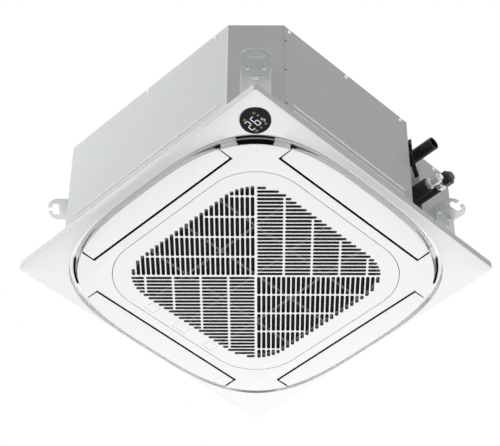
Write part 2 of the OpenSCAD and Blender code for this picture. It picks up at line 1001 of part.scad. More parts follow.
// Each wall with screws along its top: its quarter turns, its distance out, and the screws' places
CASING_SCREW_ROWS = [
    [0, body_half, [near_screw_y, (near_screw_y + far_screw_y) / 2, far_screw_y]],
    [0, wall_step, [body_half - step_screw_inset]],
    for (side = [1:3]) [side, body_half, [-casing_screw_spread, 0, casing_screw_spread]]
];
module at_casing_screws() {
    for (row = CASING_SCREW_ROWS, along = row[2])
        rotate(90 * row[0])
            translate([row[1], along, casing_screw_z])
                rotate([0, 90, 0])
                    children();
}

module casing_screws() {
    color("silver")
        at_casing_screws() {
            cylinder(r1 = 2.5 * casing_screw_r, r2 = 1.8 * casing_screw_r, h = casing_screw_head);
            translate([0, 0, -2 * sheet_t])
                cylinder(r = casing_screw_r, h = 2 * sheet_t + casing_screw_head / 2);
        }
}

lug_r = 6;
lug_gap = 2;
lug_out = motor_r + lug_r + lug_gap;
lug_count = 3;
bead_gap = 40;
bead_pitch = 30;
bead_w = 8;
module top_plate() {
    bead_r = motor_r + bead_gap;
    color("silver")
        difference() {
            translate([0, 0, top_z])
                linear_extrude(sheet_t)
                    cabinet_plan(0);
            for (r = [bead_r, bead_r + bead_pitch])
                translate([0, 0, top_z + sheet_t / 2])
                    difference() {
                        cylinder(r = r, h = sheet_t);
                        cylinder(r = r - bead_w, h = sheet_t);
                    }
        }
}

foam_in = sheet_t + seat_gap;
foam_hole_gap = 30;
module foam_liner() {
    foam_top = top_z - seat_gap;
    color("darkgray")
        difference() {
            translate([0, 0, pan_h + 2 * seat_gap])
                linear_extrude(foam_top - pan_h - 2 * seat_gap)
                    cabinet_plan(foam_in);
            translate([0, 0, pan_h])
                linear_extrude(foam_top - foam_t - pan_h)
                    cabinet_plan(foam_in + foam_t);
            translate([0, 0, foam_top - foam_t - cut])
                cylinder(r = motor_r + foam_hole_gap, h = foam_t + 2 * cut);
            pipe_holes(wall_in - foam_in - foam_t - cut, wall_in, pipe_hole);
            for (number = [1:4])
                at_hanger(number)
                    at_hook_screws()
                        translate([0, 0, -foam_t])
                            cylinder(r = 2 * hook_screw_r, h = foam_t);
            at_casing_screws()
                translate([0, 0, -foam_t])
                    cylinder(r = 2 * casing_screw_r, h = foam_t);
        }
}

// Fan and motor

motor_sink = 40;
motor_z = fan_top - motor_sink;
motor_h = 78;
motor_edge = 6;
lug_rise = 26;
lug_z = fan_top + lug_rise;
lug_t = 4;
boss_r = 14;
fan_wall = 2.5;
boss_l = 16;
boss_bottom = motor_z - boss_l;
nut_h = 8;

module fan_motor() {
    color("dimgray")
        difference() {
            union() {
                translate([0, 0, motor_z])
                    cylinder(r1 = motor_r - motor_edge, r2 = motor_r, h = motor_edge);
                translate([0, 0, motor_z + motor_edge])
                    cylinder(r = motor_r, h = motor_h - 2 * motor_edge);
                translate([0, 0, motor_z + motor_h - motor_edge])
                    cylinder(r1 = motor_r, r2 = motor_r - motor_edge, h = motor_edge);
                for (i = [0:lug_count - 1])
                    rotate(120 * i)
                        translate([0, 0, lug_z]) {
                            translate([0, -lug_r, 0])
                                cube([lug_out, 2 * lug_r, lug_t]);
                            translate([lug_out, 0, 0])
                                cylinder(r = lug_r, h = lug_t);
                        }
            }
            translate([0, 0, motor_z - cut])
                cylinder(r = shaft_r + seat_gap, h = motor_h / 2 + cut);
            for (i = [0:lug_count - 1])
                rotate(120 * i)
                    translate([lug_out, 0, lug_z - cut])
                        cylinder(r = lug_r / 2 + pin_clearance, h = lug_t + 2 * cut);
        }
}

// Studs from the top plate, with a rubber bush above and a nut below each lug
module motor_mounts() {
    color("gray")
        for (i = [0:lug_count - 1])
            rotate(120 * i)
                translate([lug_out, 0, 0]) {
                    translate([0, 0, lug_z - lug_t])
                        cylinder(r = lug_r / 2, h = top_z - lug_z + lug_t);
                    translate([0, 0, lug_z + lug_t])
                        cylinder(r = lug_r, h = top_z - lug_z - lug_t);
                    translate([0, 0, lug_z - lug_t])
                        hex_bar(1.6 * lug_r, lug_t);
                }
}

module motor_shaft() {
    color("silver")
        translate([0, 0, boss_bottom - nut_h - shaft_r / 2])
            cylinder(r = shaft_r, h = motor_z + motor_h / 2 - boss_bottom + nut_h + shaft_r / 2 - seat_gap);
}

module fan_nut() {
    color("gray")
        difference() {
            translate([0, 0, boss_bottom - nut_h])
                hex_bar(3 * shaft_r, nut_h);
            translate([0, 0, boss_bottom - nut_h - cut])
                cylinder(r = shaft_r + pin_clearance, h = nut_h + 2 * cut);
        }
}

// The shroud bends through a quarter circle from the intake to the rim
shroud_bend = fan_r - fan_inlet_r;
shroud_mid_bend = shroud_bend - fan_wall / 2;
shroud_mid = [for (a = [30:15:75]) [fan_r, fan_z] + shroud_mid_bend * [-cos(a), sin(a)]];
hub_gap = 8;
hub_flare = 34;
hub_drop = 6;
hub_low_r = motor_r + hub_gap;
hub_top_r = motor_r + hub_flare;
hub_low_z = motor_z - hub_drop;
hub_line = [
    [boss_r - fan_wall, hub_low_z], [hub_low_r, hub_low_z],
    [hub_top_r, fan_top - 2 * fan_wall], [fan_r, fan_top - fan_wall]
];
hub_back = [for (i = [3:-1:0]) hub_line[i] + [0, fan_wall]];
hub_slope = fan_wall / (fan_r - hub_top_r);
blade_gap = 2;
blade_in = hub_top_r + blade_gap;
blade_centre = 0.45 * fan_r;
blade_bend = 0.55 * fan_r;

module fan_blades() {
    outer = fan_r - blade_t / 2;
    low = fan_z + fan_h / 10;
    high = fan_top - 1.5 * fan_wall;
    intersection() {
        for (i = [0:blade_count - 1])
            rotate(360 / blade_count * i)
                intersection() {
                    translate([blade_centre, 0, fan_z])
                        difference() {
                            cylinder(r = blade_bend, h = fan_h);
                            translate([0, 0, -cut])
                                cylinder(r = blade_bend - blade_t, h = fan_h + 2 * cut);
                        }
                    translate([0, blade_t, fan_z])
                        cube([2 * fan_r, fan_r, fan_h]);
                }
        rotate_extrude()
            polygon([
                [blade_in, low],
                [fan_inlet_r - fan_wall, low],
                each shroud_mid,
                [outer, fan_z + shroud_mid_bend],
                [outer, high + hub_slope * (outer - hub_top_r)],
                [blade_in, high + hub_slope * (blade_in - hub_top_r)]
            ]);
    }
}

module fan_wheel() {
    color("darkgray")
        difference() {
            union() {
                rotate_extrude()
                    intersection() {
                        translate([fan_r, fan_z])
                            difference() {
                                circle(r = shroud_bend);
                                circle(r = shroud_bend - fan_wall);
                            }
                        translate([fan_inlet_r - fan_wall, fan_z])
                            square(shroud_bend + fan_wall);
                    }
                rotate_extrude()
                    polygon(concat(hub_line, hub_back));
                fan_blades();
                translate([0, 0, boss_bottom])
                    cylinder(r = boss_r, h = hub_low_z + fan_wall / 2 - boss_bottom);
            }
            translate([0, 0, boss_bottom - cut])
                cylinder(r = shaft_r + pin_clearance, h = hub_low_z - boss_bottom + 4 * fan_wall);
        }
}

// Bell mouth that leads the air from the grille into the fan
bell_t = 2;
bell_clearance = 2;
bell_lap = 4;
bell_throat_r = fan_inlet_r - 2 * bell_t - bell_clearance;
bell_flare = 28;
bell_h = fan_z + bell_lap;
bell_flange = 18;
function bell_point(a) = [
    bell_throat_r + bell_flare * (1 - cos(a)), (bell_h + bell_t) * (1 - sin(a)) - bell_t
];
module bell_mouth() {
    steps = [for (a = [0:15:90]) a];
    inner = [for (a = steps) bell_point(a)];
    outer = [for (i = [len(steps) - 1:-1:0]) bell_point(steps[i]) + bell_t * [cos(steps[i]), sin(steps[i])]];
    color("whitesmoke")
        translate([0, 0, -seat_gap]) {
            rotate_extrude()
                polygon(concat(inner, outer));
            translate([0, 0, -bell_t])
                difference() {
                    cylinder(r = bell_throat_r + bell_flare + bell_flange, h = bell_t);
                    translate([0, 0, -cut])
                        cylinder(r = bell_throat_r + bell_flare - bell_t / 2, h = bell_t + 2 * cut);
                }
        }
}

// Coil and drain pan

coil_in = coil_half - coil_depth;
coil_in_r = coil_corner_r - coil_depth;
coil_z = trough_z + seat_gap;
coil_h = top_z - seat_gap - foam_t - coil_gap - coil_z;
coil_end_x = 172;
coil_end_y = 96;
end_plate_t = 1.5;
end_plate_lap = 1;
bend_r = 3.6;
bend_pitch = 21;

// The coil's plan, each side wider and each end longer by the amounts given
module coil_plan(grow, longer) {
    difference() {
        round_square(coil_half + grow, coil_corner_r + grow);
        round_square(coil_in - grow, coil_in_r - grow);
        translate([coil_end_x + longer, coil_end_y + longer])
            square(body_half);
    }
}

module coil_fins() {
    color("lightgray")
        translate([0, 0, coil_z])
            linear_extrude(coil_h)
                coil_plan(0, 0);
}

module at_coil_ends() {
    translate([coil_half - coil_depth / 2, coil_end_y, coil_z])
        children();
    mirror([1, -1, 0])
        translate([coil_half - coil_depth / 2, coil_end_x, coil_z])
            children();
}

module coil_end_plates() {
    color("silver")
        at_coil_ends()
            translate([-coil_depth / 2 - end_plate_lap, 0, 0])
                cube([coil_depth + 2 * end_plate_lap, end_plate_t, coil_h + end_plate_lap]);
}

module coil_bends() {
    color("peru")
        at_coil_ends()
            for (k = [0:floor(coil_h / bend_pitch) - 2])
                translate([k % 2 == 0 ? -bend_pitch / 4 : bend_pitch / 4, end_plate_t, (k + 1) * bend_pitch])
                    rotate([0, 90, 0])
                        rotate_extrude(angle = 180, $fn = 32)
                            translate([bend_pitch / 4, 0])
                                circle(r = bend_r, $fn = 16);
}

// Bent sheet that closes the coil's open corner, in front of the pump and the pipes
baffle_lap = 3;
baffle_turn = 5;
baffle_gap = 3;
baffle_share = 0.73;
module coil_baffle() {
    near = coil_end_y + end_plate_t + seat_gap;
    far = coil_end_x + end_plate_t + seat_gap;
    line = [
        [coil_in + baffle_lap, near],
        [fan_r - baffle_gap, near],
        [baffle_share * fan_r, fan_r - baffle_gap],
        [far, coil_in - baffle_turn],
        [far, coil_in + baffle_lap]
    ];
    back = [
        line[0] + [0, sheet_t], line[1] + sheet_t * [0.5, 1], line[2] + [1.5 * sheet_t, 0],
        line[3] + sheet_t * [1, -0.5], line[4] + [sheet_t, 0]
    ];
    color("silver")
        translate([0, 0, pan_h])
            linear_extrude(coil_z + coil_h - pan_h)
                polygon(concat(line, [for (i = [4:-1:0]) back[i]]));
}

pan_floor = 8;
trough_gap = 4;
pan_lip = 2;
pan_outlet_in = outlet_in + pan_lip;
pan_outlet_out = body_half - foam_t;
pan_outlet_inset = 5;
pan_outlet_half = outlet_len / 2 - pan_outlet_inset;
pump_x = 160;
pump_y = 146;
pump_r = 20;
module drain_pan() {
    color("whitesmoke")
        difference() {
            union() {
                translate([0, 0, sheet_t])
                    linear_extrude(pan_h - sheet_t)
                        cabinet_plan(foam_in);
                linear_extrude(pan_h / 2)
                    cabinet_plan(flange_w + seat_gap);
            }
            translate([0, 0, -cut])
                cylinder(r = bell_throat_r + bell_flare + bell_t, h = pan_h + 2 * cut);
            for (side = SIDES)
                rotate(90 * side)
                    translate([pan_outlet_in, -pan_outlet_half, -cut])
                        cube([
                            pan_outlet_out - pan_outlet_in,
                            side == 0 ? pan_outlet_half + recess_start - foam_t : 2 * pan_outlet_half,
                            pan_h + 2 * cut
                        ]);
            translate([0, 0, trough_z])
                linear_extrude(pan_h)
                    coil_plan(trough_gap, bend_pitch / 2 + trough_gap);
            translate([pump_x, pump_y, trough_z])
                cylinder(r = pump_r + trough_gap, h = pan_h);
            for (side = SIDES)
                rotate(45 + 90 * side)
                    translate([panel_screw_out, 0, -cut])
                        cylinder(r = panel_screw_r + seat_gap, h = trough_z - pan_floor + cut);
        }
}

pump_foot = 12;
pump_foot_inset = 6;
pump_head_inset = 5;
pump_h = 62;
hose_r = 9;
module drain_pump() {
    color("whitesmoke")
        translate([pump_x, pump_y, trough_z + seat_gap]) {
            cylinder(r = pump_r - pump_foot_inset, h = pump_foot);
            translate([0, 0, pump_foot])
                cylinder(r = pump_r, h = pump_h / 2);
            translate([0, 0, pump_foot + pump_h / 2])
                cylinder(r = pump_r - pump_head_inset, h = pump_h / 2);
        }
}

// Hose from the pump's top round into the drain pipe
module drain_hose() {
    base = trough_z + seat_gap + pump_foot + pump_h;
    turn = 2 * hose_r;
    color("gainsboro") {
        translate([pump_x, drain_y, base])
            cylinder(r = hose_r, h = drain_z - turn - base);
        translate([pump_x + turn, drain_y, drain_z - turn])
            rotate([90, 0, 0])
                rotate_extrude(angle = 90, start = 90)
                    translate([turn, 0])
                        circle(r = hose_r);
        translate([pump_x + turn, drain_y, drain_z])
            rotate([0, 90, 0])
                cylinder(r = hose_r, h = wall_in - foam_t - 2 * sheet_t - pump_x - turn);
    }
}

drain_wall = 2;
module drain_pipe() {
    start = wall_in - foam_t - 2 * sheet_t;
    color([0.06, 0.06, 0.07])
        translate([start, drain_y, drain_z])
            rotate([0, 90, 0])
                difference() {
                    cylinder(r = drain_r, h = drain_end - start);
                    translate([0, 0, foam_t])
                        cylinder(r = drain_r - drain_wall, h = drain_end - start);
                }
}

// Slim strap in front of the drain pipe, on two feet from the recess's side
strap_gap = 8;
strap_bend = 2;
strap_spread = 15;
strap_top = 220;
strap_bend_z = 171;
strap_low = 132;
strap_line = [
    [recess_start + strap_gap, strap_top],
    [recess_start + strap_gap + strap_bend, strap_bend_z],
    [recess_start + strap_gap + strap_spread, strap_low]
];
strap_t = 2.5;
strap_w = 9;
strap_feet_z = [205, 176];
module drain_support() {
    color([0.06, 0.06, 0.07])
        translate([body_half - strap_w, 0, 0])
            rotate([90, 0, 90])
                linear_extrude(strap_w) {
                    polygon(concat(strap_line, [for (i = [2:-1:0]) strap_line[i] + [strap_t, 0]]));
                    for (z = strap_feet_z)
                        translate([recess_start, z])
                            square([strap_line[1].x - recess_start, strap_t]);
                }
}

sleeve_reach = 15;
sleeve_end = body_half + sleeve_reach;
nut_gap = 0.3;
gas_nut_w = 25;
gas_nut_l = 16;
liquid_nut_w = 18;
liquid_cap_w = 16;
liquid_nut_l = 13;
cap_l = 19;

// A copper tube through the points given, with round elbows
module tube(r, points) {
    for (i = [0:len(points) - 2]) {
        step = points[i + 1] - points[i];
        flat = norm([step.x, step.y]);
        translate(points[i])
            rotate([0, atan2(flat, step.z), atan2(step.y, step.x)])
                cylinder(r = r, h = norm(step));
    }
    for (i = [1:len(points) - 2])
        translate(points[i])
            sphere(r = r);
}

header_r = 7;
header_drop = 20;
pipe_rise = 20;
header_x = wall_in - foam_in - foam_t - header_r - 2 * seat_gap;
header_y = coil_end_y + bend_pitch - header_r / 2 + cut;
module gas_pipe() {
    end_x = sleeve_end + gas_nut_l;
    color("peru") {
        tube(gas_r, [[header_x, header_y, gas_z], [header_x, gas_y, gas_z], [end_x, gas_y, gas_z]]);
        translate([header_x, header_y, gas_z - header_drop])
            cylinder(r = header_r, h = coil_z + coil_h - gas_z);
    }
}

module liquid_pipe() {
    low = pan_h + pipe_rise;
    inner_x = header_x + header_r - liquid_r;
    color("peru")
        tube(liquid_r, [
            [inner_x, header_y - header_r / 2, low],
            [inner_x, liquid_y, low],
            [inner_x, liquid_y, liquid_z],
            [sleeve_end + liquid_nut_l, liquid_y, liquid_z]
        ]);
}

module pipe_sleeves() {
    color([0.09, 0.08, 0.09])
        for (p = [[gas_y, gas_z, gas_r], [liquid_y, liquid_z, liquid_r]])
            translate([wall_in - foam_t, p[0], p[1]])
                rotate([0, 90, 0])
                    difference() {
                        cylinder(r = sleeve_r, h = sleeve_end - wall_in + foam_t);
                        translate([0, 0, -cut])
                            cylinder(r = p[2] + pin_clearance, h = sleeve_end);
                    }
}

module flare_nut(y, z, across, length, r) {
    translate([sleeve_end + nut_gap, y, z])
        rotate([0, 90, 0])
            difference() {
                union() {
                    hex_bar(across, 0.6 * length);
                    cylinder(d = 0.85 * across, h = length);
                }
                translate([0, 0, -cut])
                    cylinder(r = r + pin_clearance, h = length + 2 * cut);
            }
}

module gas_nut() {
    color("silver")
        flare_nut(gas_y, gas_z, gas_nut_w, gas_nut_l, gas_r);
}

module liquid_nut() {
    color("silver")
        flare_nut(liquid_y, liquid_z, liquid_nut_w, liquid_nut_l, liquid_r);
}

module pipe_cap(y, z, across, start) {
    translate([start + 2 * nut_gap, y, z])
        rotate([0, 90, 0]) {
            hex_bar(across, 0.7 * cap_l);
            cylinder(d1 = across, d2 = 0.7 * across, h = cap_l);
        }
}

module gas_cap() {
    color([0.06, 0.06, 0.07])
        pipe_cap(gas_y, gas_z, gas_nut_w, sleeve_end + gas_nut_l);
}

module liquid_cap() {
    color("gray")
        pipe_cap(liquid_y, liquid_z, liquid_cap_w, sleeve_end + liquid_nut_l);
}

// Control box in the grille's opening, beside the bell mouth
box_half = 100;
box_wall = 1;
box_h = 16;
box_gap = 2;
box_side_gap = 3;
box_in = bell_throat_r + bell_flare + bell_flange + box_gap;
box_out = opening_half - box_side_gap;
module control_box() {
    color("silver")
        translate([-box_half, -box_out, -box_h - seat_gap])
            difference() {
                cube([2 * box_half, box_out - box_in, box_h]);
                translate([box_wall, box_wall, -cut])
                    cube([2 * box_half, box_out - box_in, box_h + cut] - box_wall * [2, 2, 1]);
            }
}

module control_cover() {
    color("lightgray")
        translate([-box_half, -box_out, -box_h - seat_gap - box_wall])
            cube([2 * box_half, box_out - box_in, box_wall]);
}

board_t = 2;
board_margin = 5;
chip_size = [12, 14, 7];
chip_inset = 8;
chip_pitch = 20;
chip_count = 5;
module circuit_board() {
    color("seagreen")
        translate([board_margin - box_half, board_margin - box_out, -box_wall - 2 * seat_gap - board_t]) {
            cube([1.2 * box_half, box_out - box_in - 2 * board_margin, board_t]);
            for (i = [0:chip_count - 1])
                translate([chip_inset + chip_pitch * i, chip_inset, -chip_size.z])
                    cube(chip_size);
        }
}

pole_w = 9;
pole_count = 5;
block_h = 10;
module terminal_block() {
    color("ivory")
        translate([box_half / 2 - block_h, -box_out + block_h, -box_wall - 2 * seat_gap - block_h])
            difference() {
                cube([pole_count * pole_w, 1.6 * block_h, block_h]);
                for (i = [0:pole_count - 1])
                    translate([(i + 0.5) * pole_w, 0.8 * block_h, -cut])
                        cylinder(r = pole_w / 4, h = cut + block_h / 3);
            }
}

cabinet_shell();
top_plate();
foam_liner();
casing_screws();
hanger_bracket_1();
hanger_bracket_2();
hanger_bracket_3();
hanger_bracket_4();
hanger_screws();
fan_motor();
motor_mounts();
motor_shaft();
fan_wheel();
fan_nut();
bell_mouth();
coil_fins();
coil_end_plates();
coil_bends();
coil_baffle();
drain_pan();
drain_pump();
drain_hose();
drain_pipe();
drain_support();
gas_pipe();
liquid_pipe();
pipe_sleeves();
gas_nut();
gas_cap();
liquid_nut();
liquid_cap();
control_box();
control_cover();
circuit_board();
terminal_block();
panel_frame();
duct_frame();
duct_seals();
panel_screws();
display_window();
display_board();
louver_1();
louver_2();
louver_3();
louver_4();
louver_motor_1();
louver_motor_2();
louver_motor_3();
louver_motor_4();
intake_grille();
grille_arms();
filter_frame();
filter_mesh();
latch_1();
latch_2();
screw_cover();
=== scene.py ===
"""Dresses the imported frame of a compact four-way ceiling cassette air conditioner.

Lengths are written in millimetres and turned into metres where a mesh is made.
The origin is the middle of the ceiling plane and +Z points up, as in the frame.
"""

import json
import math

import bmesh
import bpy
from mathutils import Matrix, Vector

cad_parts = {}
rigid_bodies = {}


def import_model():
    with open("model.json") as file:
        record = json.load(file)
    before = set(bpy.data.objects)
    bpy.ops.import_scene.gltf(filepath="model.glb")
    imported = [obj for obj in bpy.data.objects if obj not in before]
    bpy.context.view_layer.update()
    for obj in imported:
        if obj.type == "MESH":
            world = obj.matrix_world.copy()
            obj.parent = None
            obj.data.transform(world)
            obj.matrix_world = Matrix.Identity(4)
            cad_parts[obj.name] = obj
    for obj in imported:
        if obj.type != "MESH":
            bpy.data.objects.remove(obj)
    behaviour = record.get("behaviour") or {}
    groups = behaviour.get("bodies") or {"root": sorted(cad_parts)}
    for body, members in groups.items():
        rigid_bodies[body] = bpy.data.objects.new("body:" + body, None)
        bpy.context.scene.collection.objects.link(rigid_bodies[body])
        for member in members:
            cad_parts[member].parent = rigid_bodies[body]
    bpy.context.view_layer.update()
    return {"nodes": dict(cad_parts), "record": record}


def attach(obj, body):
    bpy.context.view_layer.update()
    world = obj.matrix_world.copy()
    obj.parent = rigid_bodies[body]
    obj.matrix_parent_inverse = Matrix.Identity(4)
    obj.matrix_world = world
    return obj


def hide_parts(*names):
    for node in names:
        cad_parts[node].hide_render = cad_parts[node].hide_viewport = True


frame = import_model()

bl_info = {
    "name": "Ceiling cassette",
    "version": (1, 0, 0),
    "blender": (4, 5, 0),
    "location": "3D View > Sidebar > Cassette",
    "description": "Panel, grille, cabinet and finishes of a four-way ceiling cassette",
    "category": "Object",
}

MM = 0.001
SIDES = range(4)

# Heights below and above the ceiling plane
RIM_Z, LIP_Z, WELL_Z, FACE_Z, BAND_Z = -15.0, -25.5, -19.5, -33.0, -10.0
WALL_TOP, GROOVE_Z = -17.0, -15.6

# Half widths of the panel's outlines
PANEL_HALF, LIP_HALF, WELL_TOP, WELL_HALF, CENTRE_HALF = 310.0, 299.5, 298.9, 289.0, 288.0
OUTLET_IN, OUTLET_HALF, OPENING_HALF, OPENING_R = 236.0, 180.5, 217.0, 102.3
GRILLE_HALF, GRILLE_R, FIELD_HALF, FIELD_R = 215.7, 101.0, 185.7, 81.0
HINGE = (224.7, -28.5)
HINGE_AT, HINGE_ROOM = 90.0, (216.5, 228.2, 7.7)
LIP_POWER, CENTRE_POWER = 3.35, 3.2
GRILLE_NODES = [name for name in ("intake_grille", "grille_arms") if name in frame["nodes"]]
PANEL_WALL = 2.5

# The round display on the slope beside the +X -Y corner
DISPLAY_R = 27.0
CORNER_LIP = LIP_HALF * 2 ** (-1 / LIP_POWER)
DISPLAY_TILT = math.atan((RIM_Z - LIP_Z) / ((PANEL_HALF - CORNER_LIP) * math.sqrt(2)))
DISPLAY_AT = CORNER_LIP + DISPLAY_R / math.sqrt(2) + 1
DISPLAY_Z = LIP_Z + (DISPLAY_AT - CORNER_LIP) * math.sqrt(2) * math.tan(DISPLAY_TILT)
DISPLAY_PROUD = 0.5

# Cabinet
BODY_HALF, CUT_SIDE, BODY_H = 285.0, 213.5, 260.0
FACE_OUT = (BODY_HALF + CUT_SIDE) / math.sqrt(2)
STEP_AT, STEP_Y = BODY_HALF - 40, BODY_HALF - 23.0

# The camera that matches the photograph's angle
CAMERA_AZ, CAMERA_EL, CAMERA_ROLL = 44.80, -44.76, -0.001845
CAMERA_TARGET, CAMERA_DISTANCE = (82.607, -52.920, -15.0), 3302.39
CAMERA_LENS, CAMERA_SHIFT = 131.45, (-0.0348, 0.0189)


def length_setting(name, description, default):
    """A length among the settings, in metres."""
    return bpy.props.FloatProperty(name=name, description=description, default=default, unit="LENGTH", precision=5)


def power_setting(name, description, default):
    return bpy.props.FloatProperty(name=name, description=description, default=default, unit="POWER")


def share_setting(name, description, default):
    return bpy.props.FloatProperty(name=name, description=description, default=default, min=0.0, max=1.0)


def color_setting(name, description, default):
    return bpy.props.FloatVectorProperty(name=name, description=description, default=default, subtype="COLOR")


class StageSettings(bpy.types.PropertyGroup):
    key_power: power_setting("Key power", "Power of the large lamp in front of the panel", 107.0)
    side_power: power_setting("Side power", "Power of the lamp high on the display side", 80.0)
    ambient: share_setting("Ambient", "Light that comes from all round", 0.34)
    floor_z: length_setting("Floor height", "Height of the floor below the ceiling plane", -4.7)


class FinishSettings(bpy.types.PropertyGroup):
    panel_color: color_setting("Panel", "Colour of the moulded panel", (0.90, 0.90, 0.90))
    sheet_color: color_setting("Sheet steel", "Colour of the cabinet's sheet steel", (0.775, 0.805, 0.795))
    sheet_metal: share_setting("Sheet gloss", "Share of the sheet's light that is mirrored", 0.04)


class PatternSettings(bpy.types.PropertyGroup):
    slot_w: length_setting("Slot width", "Width of the grille's slots", 0.0066)
    slot_pitch: length_setting("Slot pitch", "Distance between slots", 0.00913)
    bar_w: length_setting("Bar width", "Width of the crossing bars", 0.0044)
    rib_pitch: length_setting("Rib pitch", "Distance between cross ribs", 0.051)
    rib_w: length_setting("Rib width", "Width of the cross ribs", 0.0030)
    slat_t: length_setting("Slat depth", "Depth of the slats at their front edges", 0.0012)
    net_pitch: length_setting("Net pitch", "Distance between the filter's threads", 0.002)


def linked(name, data):
    """A new object in the scene."""
    obj = bpy.data.objects.new(name, data)
    bpy.context.scene.collection.objects.link(obj)
    return obj


def ray(angle):
    """The direction at this angle, in plan."""
    return Vector((math.cos(angle), math.sin(angle)))


def rim_rays():
    """Directions in which every outline of the panel is met, closer together at the corners."""
    half = [a * 0.75 for a in range(60)] + [44.6, 44.8]
    side = sorted([-a for a in half[1:]] + half) + [45.0]
    return [ray(math.radians(a + 90 * s)) for s in SIDES for a in side]


def bulged(half, power, rays):
    """A square with bulging sides, like the outline of a cushion."""
    return [d * half / (abs(d.x) ** power + abs(d.y) ** power) ** (1 / power) for d in rays]


def rounded(half, r, rays):
    """A square with round corners."""
    made = []
    for d in rays:
        long, short = max(abs(d.x), abs(d.y)), min(abs(d.x), abs(d.y))
        if half * short / long <= half - r:
            made.append(d * half / long)
        else:
            along = (long + short) * (half - r)
            made.append(d * (along + math.sqrt(max(0, along * along - 2 * (half - r) ** 2 + r * r))))
    return made


def between(a, b, share):
    return [p.lerp(q, share) for p, q in zip(a, b)]


def turned(points, side):
    """The points turned by quarter turns about the origin."""
    c, s = [(1, 0), (0, 1), (-1, 0), (0, -1)][side]
    return [(c * p[0] - s * p[1], s * p[0] + c * p[1], *p[2:]) for p in points]


def round_square(half, r, steps=20):
    made = []
    for side in SIDES:
        corner = [(half - r + r * math.cos(math.pi / 2 * i / steps), half - r + r * math.sin(math.pi / 2 * i / steps))
                  for i in range(steps + 1)]
        made += turned(corner, side)
    return made


def box_loop(x0, y0, x1, y1):
    return [(x0, y0), (x1, y0), (x1, y1), (x0, y1)]


def new_piece(name, mesh, body, material, sharp=35):
    """A finished piece in the row frame that rides on a body."""
    mesh.name = name
    obj = linked(name, mesh)
    mesh.materials.clear()
    mesh.materials.append(material)
    mesh.polygons.foreach_set("use_smooth", [True] * len(mesh.polygons))
    mesh.set_sharp_from_angle(angle=math.radians(sharp))
    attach(obj, body)
    return obj


def in_mm(mesh):
    """A bmesh in millimetres from a mesh in metres."""
    bm = bmesh.new()
    bm.from_mesh(mesh)
    bmesh.ops.scale(bm, vec=(1 / MM, 1 / MM, 1 / MM), verts=bm.verts)
    return bm


def mesh_of(bm, recalc=True):
    """A mesh in metres from a bmesh in millimetres."""
    bmesh.ops.remove_doubles(bm, verts=bm.verts, dist=0.001)
    if recalc:
        bmesh.ops.recalc_face_normals(bm, faces=bm.faces)
    bmesh.ops.scale(bm, vec=(MM, MM, MM), verts=bm.verts)
    mesh = bpy.data.meshes.new("piece")
    bm.to_mesh(mesh)
    bm.free()
    return mesh


def ring_loft(bm, outlines, heights, closed=True):
    """A skin through outlines of equal length, one at each height."""
    rows = [[bm.verts.new((p[0], p[1], z)) for p in line] for line, z in zip(outlines, heights)]
    count = len(rows[0])
    for i in range(len(rows) if closed else len(rows) - 1):
        low, high = rows[i], rows[(i + 1) % len(rows)]
        for j in range(count):
            k = (j + 1) % count
            bm.faces.new((low[j], low[k], high[k], high[j]))


def plan_plate(loops, low, high, bevel=0.0, steps=2):
    """A flat plate with holes, drawn from loops in plan, with rounded edges."""
    curve = bpy.data.curves.new("plan", "CURVE")
    curve.dimensions = "2D"
    curve.fill_mode = "BOTH"
    curve.bevel_depth = bevel * MM
    curve.offset = -bevel * MM
    curve.bevel_resolution = steps
    curve.extrude = ((high - low) / 2 - bevel) * MM
    for loop in loops:
        spline = curve.splines.new("POLY")
        spline.points.add(len(loop) - 1)
        spline.points.foreach_set("co", [c for p in loop for c in (p[0] * MM, p[1] * MM, 0, 1)])
        spline.use_cyclic_u = True
    obj = linked("plan", curve)
    mesh = bpy.data.meshes.new_from_object(obj.evaluated_get(bpy.context.evaluated_depsgraph_get()))
    bpy.data.objects.remove(obj)
    bpy.data.curves.remove(curve)
    bm = in_mm(mesh)
    bpy.data.meshes.remove(mesh)
    bmesh.ops.translate(bm, vec=(0, 0, (low + high) / 2), verts=bm.verts)
    return bm


def join(bm, other):
    """Adds another bmesh to this one."""
    mesh = bpy.data.meshes.new("part")
    other.to_mesh(mesh)
    other.free()
    bm.from_mesh(mesh)
    bpy.data.meshes.remove(mesh)


def add_box(bm, low, high):
    size = Vector(high) - Vector(low)
    middle = (Vector(high) + Vector(low)) / 2
    bmesh.ops.create_cube(bm, size=1, matrix=Matrix.Translation(middle) @ Matrix.Diagonal((*size, 1)))


def add_rod(bm, start, end, r, r_end=None, segments=24):
    """A round bar from one point to another."""
    start, end = Vector(start), Vector(end)
    along = end - start
    turn = along.to_track_quat("Z", "Y").to_matrix().to_4x4()
    bmesh.ops.create_cone(
        bm, cap_ends=True, segments=segments, radius1=r, radius2=r if r_end is None else r_end,
        depth=along.length, matrix=Matrix.Translation((start + end) / 2) @ turn
    )


def evaluated_mesh(obj):
    """The object's mesh with its modifiers applied. The object is removed."""
    bpy.context.view_layer.update()
    mesh = bpy.data.meshes.new_from_object(obj.evaluated_get(bpy.context.evaluated_depsgraph_get()))
    bpy.data.objects.remove(obj)
    return mesh


def modified(mesh, make):
    """The mesh after the modifiers that make adds to an object."""
    obj = linked("work", mesh)
    make(obj)
    return evaluated_mesh(obj)


# Finishes


